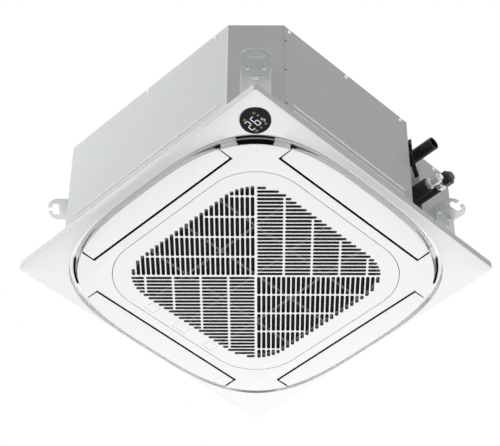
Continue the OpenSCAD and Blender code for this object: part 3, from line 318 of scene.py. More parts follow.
class Val:
    """One output of a node, used in plain sums."""

    def __init__(self, owner, socket):
        self.owner = owner
        self.socket = socket

    def sum(self, operation, first, second=0.0):
        return self.owner.node("ShaderNodeMath", {"operation": operation}, [first, second])

    def root(self):
        return self.sum("SQRT", self)

    def whole(self):
        return self.sum("FLOOR", self)

    def __add__(self, other):
        return self.sum("ADD", self, other)

    def __radd__(self, other):
        return self.sum("ADD", other, self)

    def __sub__(self, other):
        return self.sum("SUBTRACT", self, other)

    def __rsub__(self, other):
        return self.sum("SUBTRACT", other, self)

    def __mul__(self, other):
        return self.sum("MULTIPLY", self, other)

    def __rmul__(self, other):
        return self.sum("MULTIPLY", other, self)

    def __truediv__(self, other):
        return self.sum("DIVIDE", self, other)

    def __gt__(self, other):
        return self.sum("GREATER_THAN", self, other)

    def __lt__(self, other):
        return self.sum("LESS_THAN", self, other)


class Nodes:
    """A node tree written as sums."""

    tree = None

    def put(self, socket, value):
        if isinstance(value, Val):
            self.tree.links.new(value.socket, socket)
        elif isinstance(value, list) and isinstance(value[0], Val):
            for one in value:
                self.tree.links.new(one.socket, socket)
        elif isinstance(value, (tuple, list)) and socket.type == "RGBA" and len(value) == 3:
            socket.default_value = (*value, 1)
        else:
            socket.default_value = value

    def node(self, kind, settings=None, values=None, output=0):
        """A node of this type, with its settings set first and then the values of its sockets."""
        made = self.tree.nodes.new(kind)
        for key, value in (settings or {}).items():
            if key == "stops":
                ramp = made.color_ramp
                for spot, (position, level) in enumerate(value):
                    stop = ramp.elements[spot] if spot < 2 else ramp.elements.new(position)
                    stop.position, stop.color = position, (level, level, level, 1)
            else:
                setattr(made, key, value)
        items = values.items() if isinstance(values, dict) else enumerate(values or [])
        for key, value in items:
            self.put(made.inputs[key], value)
        return Val(self, made.outputs[output])

    def seen(self):
        """A value that is 1 where the camera, a mirror or glass looks."""
        outputs = self.node("ShaderNodeLightPath").socket.node.outputs
        total = Val(self, outputs["Is Camera Ray"])
        for name in ("Is Glossy Ray", "Is Transmission Ray"):
            total = total.sum("MAXIMUM", total, Val(self, outputs[name]))
        return total


class Paint(Nodes):
    """A material whose node tree is written as sums."""

    def __init__(self, name):
        self.material = bpy.data.materials.new(name)
        self.material.use_nodes = True
        self.tree = self.material.node_tree
        self.shader = self.tree.nodes["Principled BSDF"]
        self.place = self.node("ShaderNodeTexCoord", output="Object")

    def noise(self, size, detail=2.0, place=None):
        """Smooth noise, from 0 to 1, whose patches are about this many millimetres across."""
        values = {"Vector": place or self.place, "Scale": 1 / (size * MM), "Detail": detail}
        return self.node("ShaderNodeTexNoise", None, values)

    def cells(self, size, feature="F1", output="Distance"):
        values = {"Vector": self.place, "Scale": 1 / (size * MM)}
        return self.node("ShaderNodeTexVoronoi", {"feature": feature}, values, output)

    def ramp(self, value, *stops):
        return self.node("ShaderNodeValToRGB", {"stops": stops}, [value])

    def stretched(self, scale):
        """The place with each axis stretched, so that noise runs in streaks."""
        return self.node("ShaderNodeMapping", None, {"Vector": self.place, "Scale": scale})

    def mix(self, share, first, second):
        return self.node("ShaderNodeMix", {"data_type": "RGBA"}, {0: share, 6: first, 7: second}, 2)

    def bump(self, height, depth):
        """A bump of this many millimetres where the height goes from 0 to 1."""
        values = {"Height": height, "Distance": depth * MM, "Strength": 1.0}
        self.set("Normal", self.node("ShaderNodeBump", None, values))

    def set(self, name, value):
        self.put(self.shader.inputs[name], value)

    def base(self, color, roughness, metallic=0.0):
        self.set("Base Color", color)
        self.set("Roughness", roughness)
        self.set("Metallic", metallic)


class Layout(Nodes):
    """A Geometry Nodes tree with a named input for each size, in millimetres where it is a length."""

    def __init__(self, name, **sizes):
        self.tree = bpy.data.node_groups.new(name, "GeometryNodeTree")
        self.given = {}
        for label, value in sizes.items():
            kind = "NodeSocketInt" if isinstance(value, int) else "NodeSocketFloat"
            title = label.replace("_", " ").capitalize()
            socket = self.tree.interface.new_socket(title, in_out="INPUT", socket_type=kind)
            self.given[socket.identifier] = value if isinstance(value, int) else value * MM
        self.tree.interface.new_socket("Geometry", in_out="OUTPUT", socket_type="NodeSocketGeometry")
        inputs = self.tree.nodes.new("NodeGroupInput").outputs
        self.sizes = [Val(self, inputs[i]) for i in range(len(sizes))]

    def index(self):
        return self.node("GeometryNodeInputIndex")

    def spot(self, x=0.0, y=0.0, z=0.0):
        return self.node("ShaderNodeCombineXYZ", None, [x, y, z])

    def stored(self, name):
        return self.node("GeometryNodeInputNamedAttribute", {"data_type": "FLOAT"}, {"Name": name})

    def store(self, geometry, name, value):
        values = {"Geometry": geometry, "Name": name, "Value": value}
        return self.node("GeometryNodeStoreNamedAttribute", {"data_type": "FLOAT", "domain": "POINT"}, values)

    def line(self, count, start=(0, 0, 0), step=(0, 0, 0)):
        """A row of points."""
        return self.node("GeometryNodeMeshLine", {"mode": "OFFSET"},
                         {"Count": count, "Start Location": start, "Offset": step})

    def moved(self, geometry, position=None, offset=None):
        values = {"Geometry": geometry}
        if position:
            values["Position"] = position
        if offset:
            values["Offset"] = offset
        return self.node("GeometryNodeSetPosition", None, values)

    def shifted(self, geometry, way=(0, 0, 0), turn=(0, 0, 0)):
        return self.node("GeometryNodeTransform", None, {"Geometry": geometry, "Translation": way, "Rotation": turn})

    def copies(self, points, instance, rotation=(0, 0, 0), scale=(1, 1, 1)):
        values = {"Points": points, "Instance": instance, "Rotation": rotation, "Scale": scale}
        made = self.node("GeometryNodeInstanceOnPoints", None, values)
        return self.node("GeometryNodeRealizeInstances", None, [made])

    def joined(self, *parts):
        return self.node("GeometryNodeJoinGeometry", None, [list(parts)])

    def without(self, solid, *cutters):
        values = {"Mesh 1": solid, "Mesh 2": list(cutters)}
        return self.node("GeometryNodeMeshBoolean", {"operation": "DIFFERENCE"}, values)

    def block(self, x, y, z):
        return self.node("GeometryNodeMeshCube", None, {"Size": (x * MM, y * MM, z * MM)})

    def round_quad(self, half, r, steps):
        """The outline of a square with round corners."""
        quad = self.node("GeometryNodeCurvePrimitiveQuadrilateral", None, {"Width": half * 2, "Height": half * 2})
        return self.node("GeometryNodeFilletCurve", {"mode": "POLY"}, {"Curve": quad, "Count": steps, "Radius": r})

    def plate(self, curves, depth):
        """A closed plate of this depth between the outlines given, holes included."""
        face = self.node("GeometryNodeFillCurve", {"mode": "NGONS"}, {"Curve": curves})
        values = {"Mesh": face, "Offset Scale": depth, "Individual": False}
        top = self.node("GeometryNodeExtrudeMesh", {"mode": "FACES"}, values)
        base = self.node("GeometryNodeFlipFaces", None, [face])
        values = {"Geometry": self.joined(top, base), "Distance": 0.01 * MM}
        return self.node("GeometryNodeMergeByDistance", None, values)

    def mesh(self, geometry, material):
        """The plain mesh of all that the tree makes, with its sizes set by the sockets' identifiers."""
        whole = self.node("GeometryNodeRealizeInstances", None, [geometry])
        painted = self.node("GeometryNodeSetMaterial", None, {"Geometry": whole, "Material": material})
        self.tree.links.new(painted.socket, self.tree.nodes.new("NodeGroupOutput").inputs[0])
        obj = linked("work", bpy.data.meshes.new("work"))
        modifier = obj.modifiers.new("layout", "NODES")
        modifier.node_group = self.tree
        for key, value in self.given.items():
            modifier[key] = value
        return evaluated_mesh(obj)


def shade(color, factor):
    return tuple(min(1.0, c * factor) for c in color)


def panel_white():
    """White moulded plastic with a fine satin grain and faint flow marks."""
    p = Paint("panel_white")
    color = tuple(bpy.context.scene.cassette_finish.panel_color)
    flow = p.noise(90, 3)
    grain = p.noise(0.9, 3)
    p.base(p.mix(flow, shade(color, 0.985), shade(color, 1.015)), 0.30 + 0.10 * grain + 0.05 * flow)
    p.bump(grain, 0.012)
    return p.material


def galvanised_sheet():
    """Zinc-coated sheet steel with a soft spangle, rolling streaks and small rub marks."""
    p = Paint("galvanised_sheet")
    settings = bpy.context.scene.cassette_finish
    color = tuple(settings.sheet_color)
    spangle = p.cells(9, output="Color")
    spangle_share = p.node("ShaderNodeSeparateColor", None, [spangle])
    streaks = p.noise(14, 3, p.stretched((1.0, 1.0, 0.06)))
    clouds = p.noise(160, 2)
    rubs = p.ramp(p.noise(5, 5, p.stretched((0.35, 0.35, 1.0))), (0.62, 0.0), (0.72, 1.0))
    tone = 0.45 * clouds + 0.35 * streaks + 0.2 * spangle_share
    base = p.mix(tone, shade(color, 0.93), shade(color, 1.06))
    p.base(p.mix(rubs * 0.3, base, shade(color, 1.12)), 0.36 + 0.10 * spangle_share + 0.08 * streaks,
           settings.sheet_metal)
    p.bump(streaks * 0.5 + p.noise(1.2, 2) * 0.5, 0.02)
    return p.material


def zinc_plate(name, color, roughness, metallic):
    """Zinc-plated steel with fine scratches."""
    p = Paint(name)
    scratches = p.noise(3, 4, p.stretched((0.2, 1.0, 1.0)))
    patches = p.noise(12, 3)
    p.base(p.mix(patches, shade(color, 0.88), shade(color, 1.08)), roughness + 0.12 * scratches, metallic)
    p.bump(scratches, 0.01)
    return p.material


def grained_plastic(name, color, roughness, grain=0.8, depth=0.02, variation=0.06):
    """Moulded plastic with its grain."""
    p = Paint(name)
    patches = p.noise(25, 3)
    fine = p.noise(grain, 3)
    base = p.mix(patches, shade(color, 1 - variation), shade(color, 1 + variation))
    p.base(base, roughness + 0.1 * fine)
    p.bump(fine, depth)
    return p.material


def cell_foam(name, color, size, depth):
    """Foam with rounded beads or pores."""
    p = Paint(name)
    beads = p.cells(size)
    fine = p.noise(size / 3, 3)
    # Colour darker towards each bead's edge, where the bump sinks: painted shade in the crevices between beads
    p.base(p.mix(beads, shade(color, 1.05), shade(color, 0.82)), 0.80 + 0.12 * fine)
    p.bump(beads * -1.0 + fine * 0.3, depth)
    return p.material


def copper_tube():
    """Bare copper with brown tarnish."""
    p = Paint("copper")
    tarnish = p.ramp(p.noise(7, 4), (0.42, 0.0), (0.7, 1.0))
    base = p.mix(tarnish, (0.80, 0.42, 0.26), (0.40, 0.20, 0.12))
    p.base(base, 0.28 + 0.25 * tarnish, 0.92)
    p.bump(p.noise(1.5, 3), 0.01)
    return p.material


def fin_aluminium():
    """Fin stock: thin upright plates at a close pitch."""
    p = Paint("coil_aluminium")
    parts = p.node("ShaderNodeSeparateXYZ", None, [p.place])
    along = parts + Val(p, parts.socket.node.outputs[1])
    wave = p.node("ShaderNodeMath", {"operation": "SINE"}, [along * (2 * math.pi / (1.8 * MM))])
    ridge = wave * 0.5 + 0.5
    dirt = p.noise(30, 3)
    # Colour lighter on each fin and darker between the fins: painted light and shade of the fins and their gaps
    base = p.mix(ridge, (0.40, 0.41, 0.42), (0.80, 0.82, 0.83))
    p.base(p.mix(dirt * 0.4, base, (0.55, 0.56, 0.56)), 0.34 + 0.2 * dirt, 0.75)
    p.bump(ridge, 0.4)
    return p.material


def circuit_board_green():
    """Solder mask over copper traces."""
    p = Paint("circuit_green")
    traces = p.cells(4, "DISTANCE_TO_EDGE")
    line = p.ramp(traces, (0.04, 1.0), (0.09, 0.0))
    p.base(p.mix(line, (0.03, 0.20, 0.09), (0.10, 0.38, 0.18)), 0.30 + 0.1 * p.noise(3, 2))
    p.bump(line, 0.04)
    return p.material


def display_glass():
    """Black acrylic window with a clear gloss and faint dust."""
    p = Paint("display_black")
    dust = p.ramp(p.noise(1.4, 4), (0.66, 0.0), (0.8, 1.0))
    p.base(p.mix(dust * 0.2, (0.012, 0.011, 0.013), (0.06, 0.06, 0.065)), 0.10 + 0.12 * dust)
    p.shader.inputs["Specular IOR Level"].default_value = 0.12
    return p.material


def glowing(name, color, strength):
    """Light that shows through the display's window, a little uneven as light guides are."""
    p = Paint(name)
    uneven = p.noise(5, 2)
    p.base((0.02, 0.02, 0.02), 0.3)
    p.set("Emission Color", p.mix(uneven, shade(color, 0.86), color))
    p.shader.inputs["Emission Strength"].default_value = strength
    return p.material


def deep_black(name, size):
    """Matt black nylon or flock that swallows the light. As slot_shadow it is painted shade put into slots, gaps and
    seams; on the filter's net its depth is partly painted shade of the dark inside.
    """
    p = Paint(name)
    weave = p.cells(size)
    p.base(p.mix(weave, (0.002, 0.002, 0.002), (0.008, 0.008, 0.009)), 0.86 + 0.1 * weave)
    p.shader.inputs["Specular IOR Level"].default_value = 0.08
    p.bump(weave, 0.1)
    return p.material


def make_finishes():
    """Every finish by the name of its material slot."""
    return {
        "galvanised_sheet": galvanised_sheet(),
        "hanger_zinc": zinc_plate("hanger_zinc", (0.86, 0.885, 0.88), 0.30, 0.25),
        # Zinc lighter than the sheet: painted highlight on the cabinet's beads, corner folds, strap edges and tab ends
        "edge_zinc": zinc_plate("edge_zinc", (0.96, 0.97, 0.97), 0.26, 0.45),
        "bright_screws": zinc_plate("bright_screws", (0.94, 0.95, 0.95), 0.18, 0.70),
        "grey_foam": cell_foam("grey_foam", (0.26, 0.27, 0.28), 1.6, 0.25),
        "motor_grey": grained_plastic("motor_grey", (0.20, 0.21, 0.22), 0.42, 1.4, 0.05),
        "fan_plastic": grained_plastic("fan_plastic", (0.12, 0.125, 0.13), 0.45, 0.7, 0.02, 0.12),
        "white_foam": cell_foam("white_foam", (0.86, 0.86, 0.84), 3.6, 0.35),
        "inner_plastic": grained_plastic("inner_plastic", (0.78, 0.79, 0.79), 0.36),
        "coil_aluminium": fin_aluminium(),
        "copper": copper_tube(),
        "black_plastic": grained_plastic("black_plastic", (0.018, 0.018, 0.02), 0.34, 0.9, 0.02, 0.2),
        "black_sleeve": cell_foam("black_sleeve", (0.03, 0.026, 0.03), 1.1, 0.12),
        "nut_nickel": zinc_plate("nut_nickel", (0.90, 0.915, 0.90), 0.20, 0.75),
        "circuit_green": circuit_board_green(),
        "terminal_cream": grained_plastic("terminal_cream", (0.80, 0.76, 0.62), 0.38),
        "panel_white": panel_white(),
        "display_black": display_glass(),
        "louver_motor_grey": grained_plastic("louver_motor_grey", (0.55, 0.56, 0.57), 0.4),
        "filter_grey": grained_plastic("filter_grey", (0.10, 0.105, 0.11), 0.5),
        # The filter's net: a dark net, made darker still as painted shade of the unit's inside
        "filter_net": deep_black("filter_net", 2.0),
        "digit_white": glowing("digit_white", (0.92, 0.94, 1.0), 0.95),
        "icon_amber": glowing("icon_amber", (0.55, 0.26, 0.04), 0.7),
        "icon_grey": glowing("icon_grey", (0.45, 0.45, 0.46), 0.7),
        "slot_shadow": deep_black("slot_shadow", 0.8),
    }


def finish_of(name):
    made = bpy.data.materials.get(name)
    if made is None:
        raise RuntimeError("run the finishes first: there is no finish named " + name)
    return made


class CASSETTE_OT_stage(bpy.types.Operator):
    """Make the camera, the lamps, the white surroundings and the pale floor"""

    bl_idname = "cassette.stage"
    bl_label = "Stage"

    def execute(self, context):
        scene = context.scene
        settings = scene.cassette_stage
        az, el = math.radians(CAMERA_AZ), math.radians(CAMERA_EL)
        back = Vector((math.sin(az) * math.cos(el), -math.cos(az) * math.cos(el), math.sin(el)))
        right = (-back).cross(Vector((0, 0, 1))).normalized()
        up = right.cross(-back)
        c, s = math.cos(CAMERA_ROLL), math.sin(CAMERA_ROLL)
        turn = Matrix((c * right + s * up, c * up - s * right, back)).transposed()
        place = (Vector(CAMERA_TARGET) + CAMERA_DISTANCE * back) * MM
        data = bpy.data.cameras.new("photo_camera")
        data.lens, data.sensor_width = CAMERA_LENS, 36
        data.shift_x, data.shift_y = CAMERA_SHIFT
        data.clip_end = 50
        camera = linked("photo_camera", data)
        camera.matrix_world = Matrix.Translation(place) @ turn.to_4x4()
        scene.camera = camera
        scene.view_settings.view_transform = "Standard"

        middle = Vector((0, 0, 0.1))
        for name, toward, distance, size, power in (
            ("key_lamp", (-0.22, 0.30, -0.93), 4.0, 2.6, settings.key_power),
            ("side_lamp", (-0.62, -0.62, 0.48), 3.4, 2.0, settings.side_power),
        ):
            lamp = bpy.data.lights.new(name, "AREA")
            lamp.shape, lamp.size, lamp.energy = "DISK", size, power
            obj = linked(name, lamp)
            way = Vector(toward).normalized()
            aim = way.to_track_quat("Z", "Y").to_matrix().to_4x4()
            obj.matrix_world = Matrix.Translation(middle + distance * way) @ aim
            obj.visible_camera = False
            obj.visible_glossy = False

        world = bpy.data.worlds.new("studio")
        world.use_nodes = True
        scene.world = world
        sky = Nodes()
        sky.tree = world.node_tree
        sky.tree.nodes.clear()
        dim, bright = (sky.node("ShaderNodeBackground", None, [(1, 1, 1), level])
                       for level in (settings.ambient, 1.0))
        mixed = sky.node("ShaderNodeMixShader", None, [sky.seen(), dim, bright])
        sky.tree.links.new(mixed.socket, sky.tree.nodes.new("ShaderNodeOutputWorld").inputs[0])

        bm = bmesh.new()
        bmesh.ops.create_grid(bm, x_segments=2, y_segments=2, size=30,
                              matrix=Matrix.Translation((0, 0, settings.floor_z)))
        mesh = bpy.data.meshes.new("floor")
        bm.to_mesh(mesh)
        bm.free()
        mesh.materials.append(self.floor_paint())
        floor = linked("floor", mesh)
        return {"FINISHED"}

    def floor_paint(self):
        """Pale floor that reads white to the camera and keeps the shadow."""
        p = Paint("floor_pale")
        p.base(p.mix(p.noise(900, 2), (0.86, 0.86, 0.86), (0.88, 0.88, 0.88)), 0.9)
        p.set("Emission Color", p.mix(p.seen(), (0, 0, 0), (0.74, 0.74, 0.74)))
        p.shader.inputs["Emission Strength"].default_value = 1.0
        return p.material


class CASSETTE_OT_finishes(bpy.types.Operator):
    """Make every finish and put it on the frame's own nodes"""

    bl_idname = "cassette.finishes"
    bl_label = "Finishes"

    def execute(self, context):
        made = make_finishes()
        slots = {row["node"]: row["material_slot"] for row in frame["record"]["subparts"]}
        for name, obj in frame["nodes"].items():
            obj.data.materials.clear()
            obj.data.materials.append(made[slots[name]])
        return {"FINISHED"}


class CASSETTE_OT_panel(bpy.types.Operator):
    """Make the moulded outlet panel with its cushion-shaped lip and its flat centre"""

    bl_idname = "cassette.panel"
    bl_label = "Outlet panel"

    def execute(self, context):
        rays = rim_rays()
        square = rounded(PANEL_HALF, 6, rays)
        foot = rounded(PANEL_HALF - 0.8, 5.2, rays)
        lip = bulged(LIP_HALF + 0.6, LIP_POWER, rays)
        outer = [
            (square, 0), (square, BAND_Z), (square, RIM_Z + 0.8),
            (rounded(PANEL_HALF - 0.24, 5.76, rays), RIM_Z + 0.24),
            (foot, RIM_Z), (between(foot, lip, 0.3), RIM_Z - 2.9), (between(foot, lip, 0.7), RIM_Z - 6.9),
            (lip, LIP_Z + 0.6), (bulged(LIP_HALF + 0.1, LIP_POWER, rays), LIP_Z + 0.15),
            (bulged(LIP_HALF - 0.4, LIP_POWER, rays), LIP_Z), (bulged(WELL_TOP, LIP_POWER, rays), LIP_Z + 0.5),
            (bulged(WELL_TOP - 0.3, LIP_POWER, rays), GROOVE_Z), (bulged(WELL_HALF, LIP_POWER, rays), GROOVE_Z + 0.2),
        ]
        back = [
            (bulged(WELL_HALF, LIP_POWER, rays), BAND_Z),
            (bulged(WELL_HALF + PANEL_WALL, LIP_POWER, rays), BAND_Z),
            (bulged(WELL_HALF + PANEL_WALL, LIP_POWER, rays), GROOVE_Z + PANEL_WALL),
            (bulged(LIP_HALF + 0.4, LIP_POWER, rays), GROOVE_Z + PANEL_WALL),
            (bulged(LIP_HALF + 0.7, LIP_POWER, rays), LIP_Z + PANEL_WALL + 0.7),
            (rounded(PANEL_HALF - PANEL_WALL, 3.5, rays), RIM_Z + PANEL_WALL),
            (rounded(PANEL_HALF - PANEL_WALL, 3.5, rays), 0),
        ]
        bm = bmesh.new()
        ring_loft(bm, [row[0] for row in outer + back], [row[1] for row in outer + back])
        skin = mesh_of(bm)
        cutter = self.display_cutter()
        skin = modified(skin, lambda obj: self.drill(obj, cutter))
        bpy.data.objects.remove(cutter)
        piece = new_piece("panel_skin", skin, "casing", finish_of("panel_white"), 25)
        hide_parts("panel_frame")

        opening = round_square(OPENING_HALF, OPENING_R)
        notched = self.with_hinge_room(opening)
        bm = plan_plate([self.centre_outline(0), opening], FACE_Z, FACE_Z + 1.2, 0.5)
        join(bm, plan_plate([self.centre_outline(0.2), notched], FACE_Z + 1.2, FACE_Z + 3))
        walls = [self.centre_outline(0.2), self.centre_outline(PANEL_WALL)]
        join(bm, plan_plate(walls, FACE_Z + 3, WALL_TOP))
        around = round_square(OPENING_HALF + PANEL_WALL, OPENING_R + PANEL_WALL)
        wall = plan_plate([around, opening], FACE_Z + 3, WALL_TOP)
        cutter = self.hinge_room_cutter()
        wall = modified(mesh_of(wall), lambda obj: self.drill(obj, cutter))
        bpy.data.objects.remove(cutter)
        join(bm, in_mm(wall))
        new_piece("panel_centre", mesh_of(bm), "casing", finish_of("panel_white"))

        # Black boxes inside the mouth of each outlet: painted shade of the outlet
        bm = bmesh.new()
        low, high = FACE_Z + 1.0, WALL_TOP - 2.2
        end = (CENTRE_HALF ** CENTRE_POWER - OUTLET_HALF ** CENTRE_POWER) ** (1 / CENTRE_POWER) - 2
        for side in SIDES:
            for box in (((OUTLET_IN - 0.15, -OUTLET_HALF), (OUTLET_IN + 0.4, OUTLET_HALF)),
                        ((OUTLET_IN + 0.4, OUTLET_HALF - 0.4), (end, OUTLET_HALF + 0.15)),
                        ((OUTLET_IN + 0.4, -OUTLET_HALF - 0.15), (end, 0.4 - OUTLET_HALF))):
                (x0, y0), (x1, y1) = turned(box, side)
                add_box(bm, (min(x0, x1), min(y0, y1), low), (max(x0, x1), max(y0, y1), high))
        new_piece("outlet_painted_shade", mesh_of(bm), "casing", finish_of("slot_shadow"))

        shades = mesh_of(self.corner_shades())
        new_piece("corner_slot_shades", shades, "casing", finish_of("slot_shadow"))

        deck = plan_plate([bulged(WELL_HALF + 1, LIP_POWER, rays), round_square(OPENING_HALF + PANEL_WALL, OPENING_R)]
                          + self.outlet_loops() + self.corner_slots(), WALL_TOP - 2, WALL_TOP)
        new_piece("panel_floor", mesh_of(deck), "casing", finish_of("panel_white"))
        return {"FINISHED"}

    def with_hinge_room(self, outline):
        """The opening's outline with a bay for each hinge arm."""
        low, high, w = HINGE_ROOM
        made = []
        for i, point in enumerate(outline):
            made.append(point)
            after = outline[(i + 1) % len(outline)]
            if abs(point[0] - OPENING_HALF) < 0.01 and abs(after[0] - OPENING_HALF) < 0.01:
                way = 1 if after[1] > point[1] else -1
                for y in (-HINGE_AT * way, HINGE_AT * way):
                    made += [(OPENING_HALF, y - w * way), (high, y - w * way), (high, y + w * way),
                             (OPENING_HALF, y + w * way)]
        return made

    def hinge_room_cutter(self):
        low, high, w = HINGE_ROOM
        bm = bmesh.new()
        for y in (-HINGE_AT, HINGE_AT):
            add_box(bm, (low - 3, y - w, FACE_Z + 1.5), (high, y + w, WALL_TOP + 1))
        return linked("cutter", mesh_of(bm))

    def display_cutter(self):
        bm = bmesh.new()
        r = DISPLAY_R + 0.3
        bmesh.ops.create_cone(bm, cap_ends=True, segments=96, radius1=r, radius2=r, depth=16)
        mesh = mesh_of(bm)
        mesh.transform(display_place())
        return linked("cutter", mesh)

    def drill(self, obj, cutter):
        cut = obj.modifiers.new("display_hole", "BOOLEAN")
        cut.operation, cut.solver, cut.object = "DIFFERENCE", "EXACT", cutter

    def centre_outline(self, inset):
        """The flat centre's outline: a cushion with a notch for each outlet."""
        half = CENTRE_HALF - inset
        end = OUTLET_HALF + inset
        x = (half ** CENTRE_POWER - end ** CENTRE_POWER) ** (1 / CENTRE_POWER)
        start = math.atan2(end, x)
        stop = math.pi / 2 - start
        made = []
        for side in SIDES:
            angles = [start + (stop - start) * i / 30 for i in range(31)]
            arc = [tuple(p) for p in bulged(half, CENTRE_POWER, [Vector((math.cos(a), math.sin(a))) for a in angles])]
            made += turned([(OUTLET_IN - inset, -end), (OUTLET_IN - inset, end)] + arc, side)
        return made

    def outlet_loops(self):
        return [turned(box_loop(OUTLET_IN, -OUTLET_HALF, self.outlet_end(), OUTLET_HALF), side) for side in SIDES]

    def outlet_end(self):
        return ((WELL_HALF - 0.5) ** LIP_POWER - OUTLET_HALF ** LIP_POWER) ** (1 / LIP_POWER)

    def corner_shades(self):
        """Painted shade for the dark mouth of each corner's air slot: black strips over the flat centre's wall and the
        groove beside it.
        """
        bm = bmesh.new()
        wall = [(CENTRE_HALF + out, CENTRE_POWER, z, w) for out, z, w in
                ((-0.1, FACE_Z + 1.6, 30.0), (0.25, FACE_Z + 1.6, 30.0), (0.25, WELL_Z, 34.0), (-0.1, WELL_Z, 34.0))]
        groove = [(half, LIP_POWER, z, w) for half, z, w in
                  ((WELL_HALF + 0.1, WELL_Z - 0.3, 34.0), (WELL_HALF + 3.5, WELL_Z - 0.3, 35.0),
                   (WELL_HALF + 3.5, WELL_Z + 0.3, 35.0), (WELL_HALF + 0.1, WELL_Z + 0.3, 34.0))]
        for side in SIDES:
            for rows in (wall, groove):
                lines = []
                for half, power, z, w in rows:
                    reach = half * 2 ** (0.5 - 1 / power)
                    angles = [math.radians(45 + 90 * side) + math.atan2(w * (i / 10 - 1), reach) for i in range(21)]
                    rays = [Vector((math.cos(a), math.sin(a))) for a in angles]
                    lines.append([bm.verts.new((p[0], p[1], z)) for p in bulged(half, power, rays)])
                for first, second in zip(lines, lines[1:] + lines[:1]):
                    for i in range(20):
                        bm.faces.new((first[i], first[i + 1], second[i + 1], second[i]))
                for i in (0, -1):
                    bm.faces.new([line[i] for line in lines])
        return bm

    def corner_slots(self):
        made = []
        for side in SIDES:
            a = math.radians(45 + 90 * side)
            c, s = math.cos(a), math.sin(a)
            reach = WELL_HALF * 2 ** (0.5 - 1 / LIP_POWER)
            made.append([(c * u - s * v, s * u + c * v) for u, v in box_loop(reach - 6, -28.5, reach - 0.3, 28.5)])
        return made


def display_place():
    """Where the display lies: its own plane is tilted on the slope by the corner."""
    place = Matrix.Translation(Vector((DISPLAY_AT, -DISPLAY_AT, DISPLAY_Z)) * MM)
    return place @ Matrix.Rotation(math.radians(-45), 4, "Z") @ Matrix.Rotation(-DISPLAY_TILT, 4, "Y")


class CASSETTE_OT_louvers(bpy.types.Operator):
    """Make the four swinging louvers"""

    bl_idname = "cassette.louvers"
    bl_label = "Louvers"

    def execute(self, context):
        inner, half, t = OUTLET_IN + 4.5, OUTLET_HALF - 2.8, 4.5
        hinge = Vector((OUTLET_IN + 12, 0, FACE_Z + 8))
        steps = 60
        edge = []
        for i in range(steps + 1):
            y = -half + 2 * half * i / steps
            edge.append(((CENTRE_HALF ** CENTRE_POWER - abs(y) ** CENTRE_POWER) ** (1 / CENTRE_POWER), y))
        outline = self.softened([(inner, half), (inner, -half)] + edge, 2.5)
        for side, body in enumerate(("louver_a", "louver_b", "louver_c", "louver_d")):
            bm = plan_plate([outline], FACE_Z, FACE_Z + t, 0.7)
            skirt = [(x - 0.25, y) for x, y in edge[1:-1]] + [(x - 1.8, y) for x, y in edge[-2:0:-1]]
            rim = plan_plate([skirt], FACE_Z + 1.2, GROOVE_Z - 3.2)
            for v in rim.verts:
                if v.co.z > FACE_Z + 2:
                    v.co.z -= 9 * max(0.0, 1 - (half - abs(v.co.y)) / 75)
            join(bm, rim)
            for v in bm.verts:
                v.co.z += 3.5 * (v.co.x - inner) / (PANEL_HALF - inner)
            for flip in (-1, 1):
                add_box(bm, (hinge.x - 4, min(flip * half, flip * (half - t)), FACE_Z + t / 2),
                        (hinge.x + 4, max(flip * half, flip * (half - t)), hinge.z))
                add_rod(bm, (hinge.x, flip * (half - t), hinge.z), (hinge.x, flip * half, hinge.z), 4)
                add_rod(bm, (hinge.x, flip * (half - t), hinge.z), (hinge.x, flip * (OUTLET_HALF + 2.5), hinge.z), 2.5)
            add_box(bm, (hinge.x - t / 4, 1 - half, FACE_Z + t / 2), (hinge.x + t / 4, half - 1, hinge.z))
            mesh = mesh_of(bm)
            mesh.transform(Matrix.Rotation(math.pi / 2 * side, 4, "Z"))
            piece = new_piece("louver_blade_%d" % (side + 1), mesh, body, finish_of("panel_white"))
            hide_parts("louver_%d" % (side + 1))
            # A black strip along the louver's inner edge: painted shade of the gap between louver and panel
            bm = bmesh.new()
            add_box(bm, (inner - 0.4, 3 - half, FACE_Z + 0.9), (inner + 0.1, half - 3, FACE_Z + t - 0.4))
            mesh = mesh_of(bm)
            mesh.transform(Matrix.Rotation(math.pi / 2 * side, 4, "Z"))
            new_piece("louver_seal_%d" % (side + 1), mesh, body, finish_of("slot_shadow"))
        return {"FINISHED"}

    def softened(self, points, r):
        """The outline with its sharp corners cut by small arcs."""
        made = []
        count = len(points)
        for i in range(count):
            p, before, after = Vector(points[i]), Vector(points[i - 1]), Vector(points[(i + 1) % count])
            a, b = (before - p).normalized(), (after - p).normalized()
            if a.dot(b) < -0.9:
                made.append(tuple(p))
                continue
            for k in range(7):
                t = k / 6
                q = (1 - t) ** 2 * (p + a * r) + 2 * t * (1 - t) * p + t ** 2 * (p + b * r)
                made.append(tuple(q))
        return made


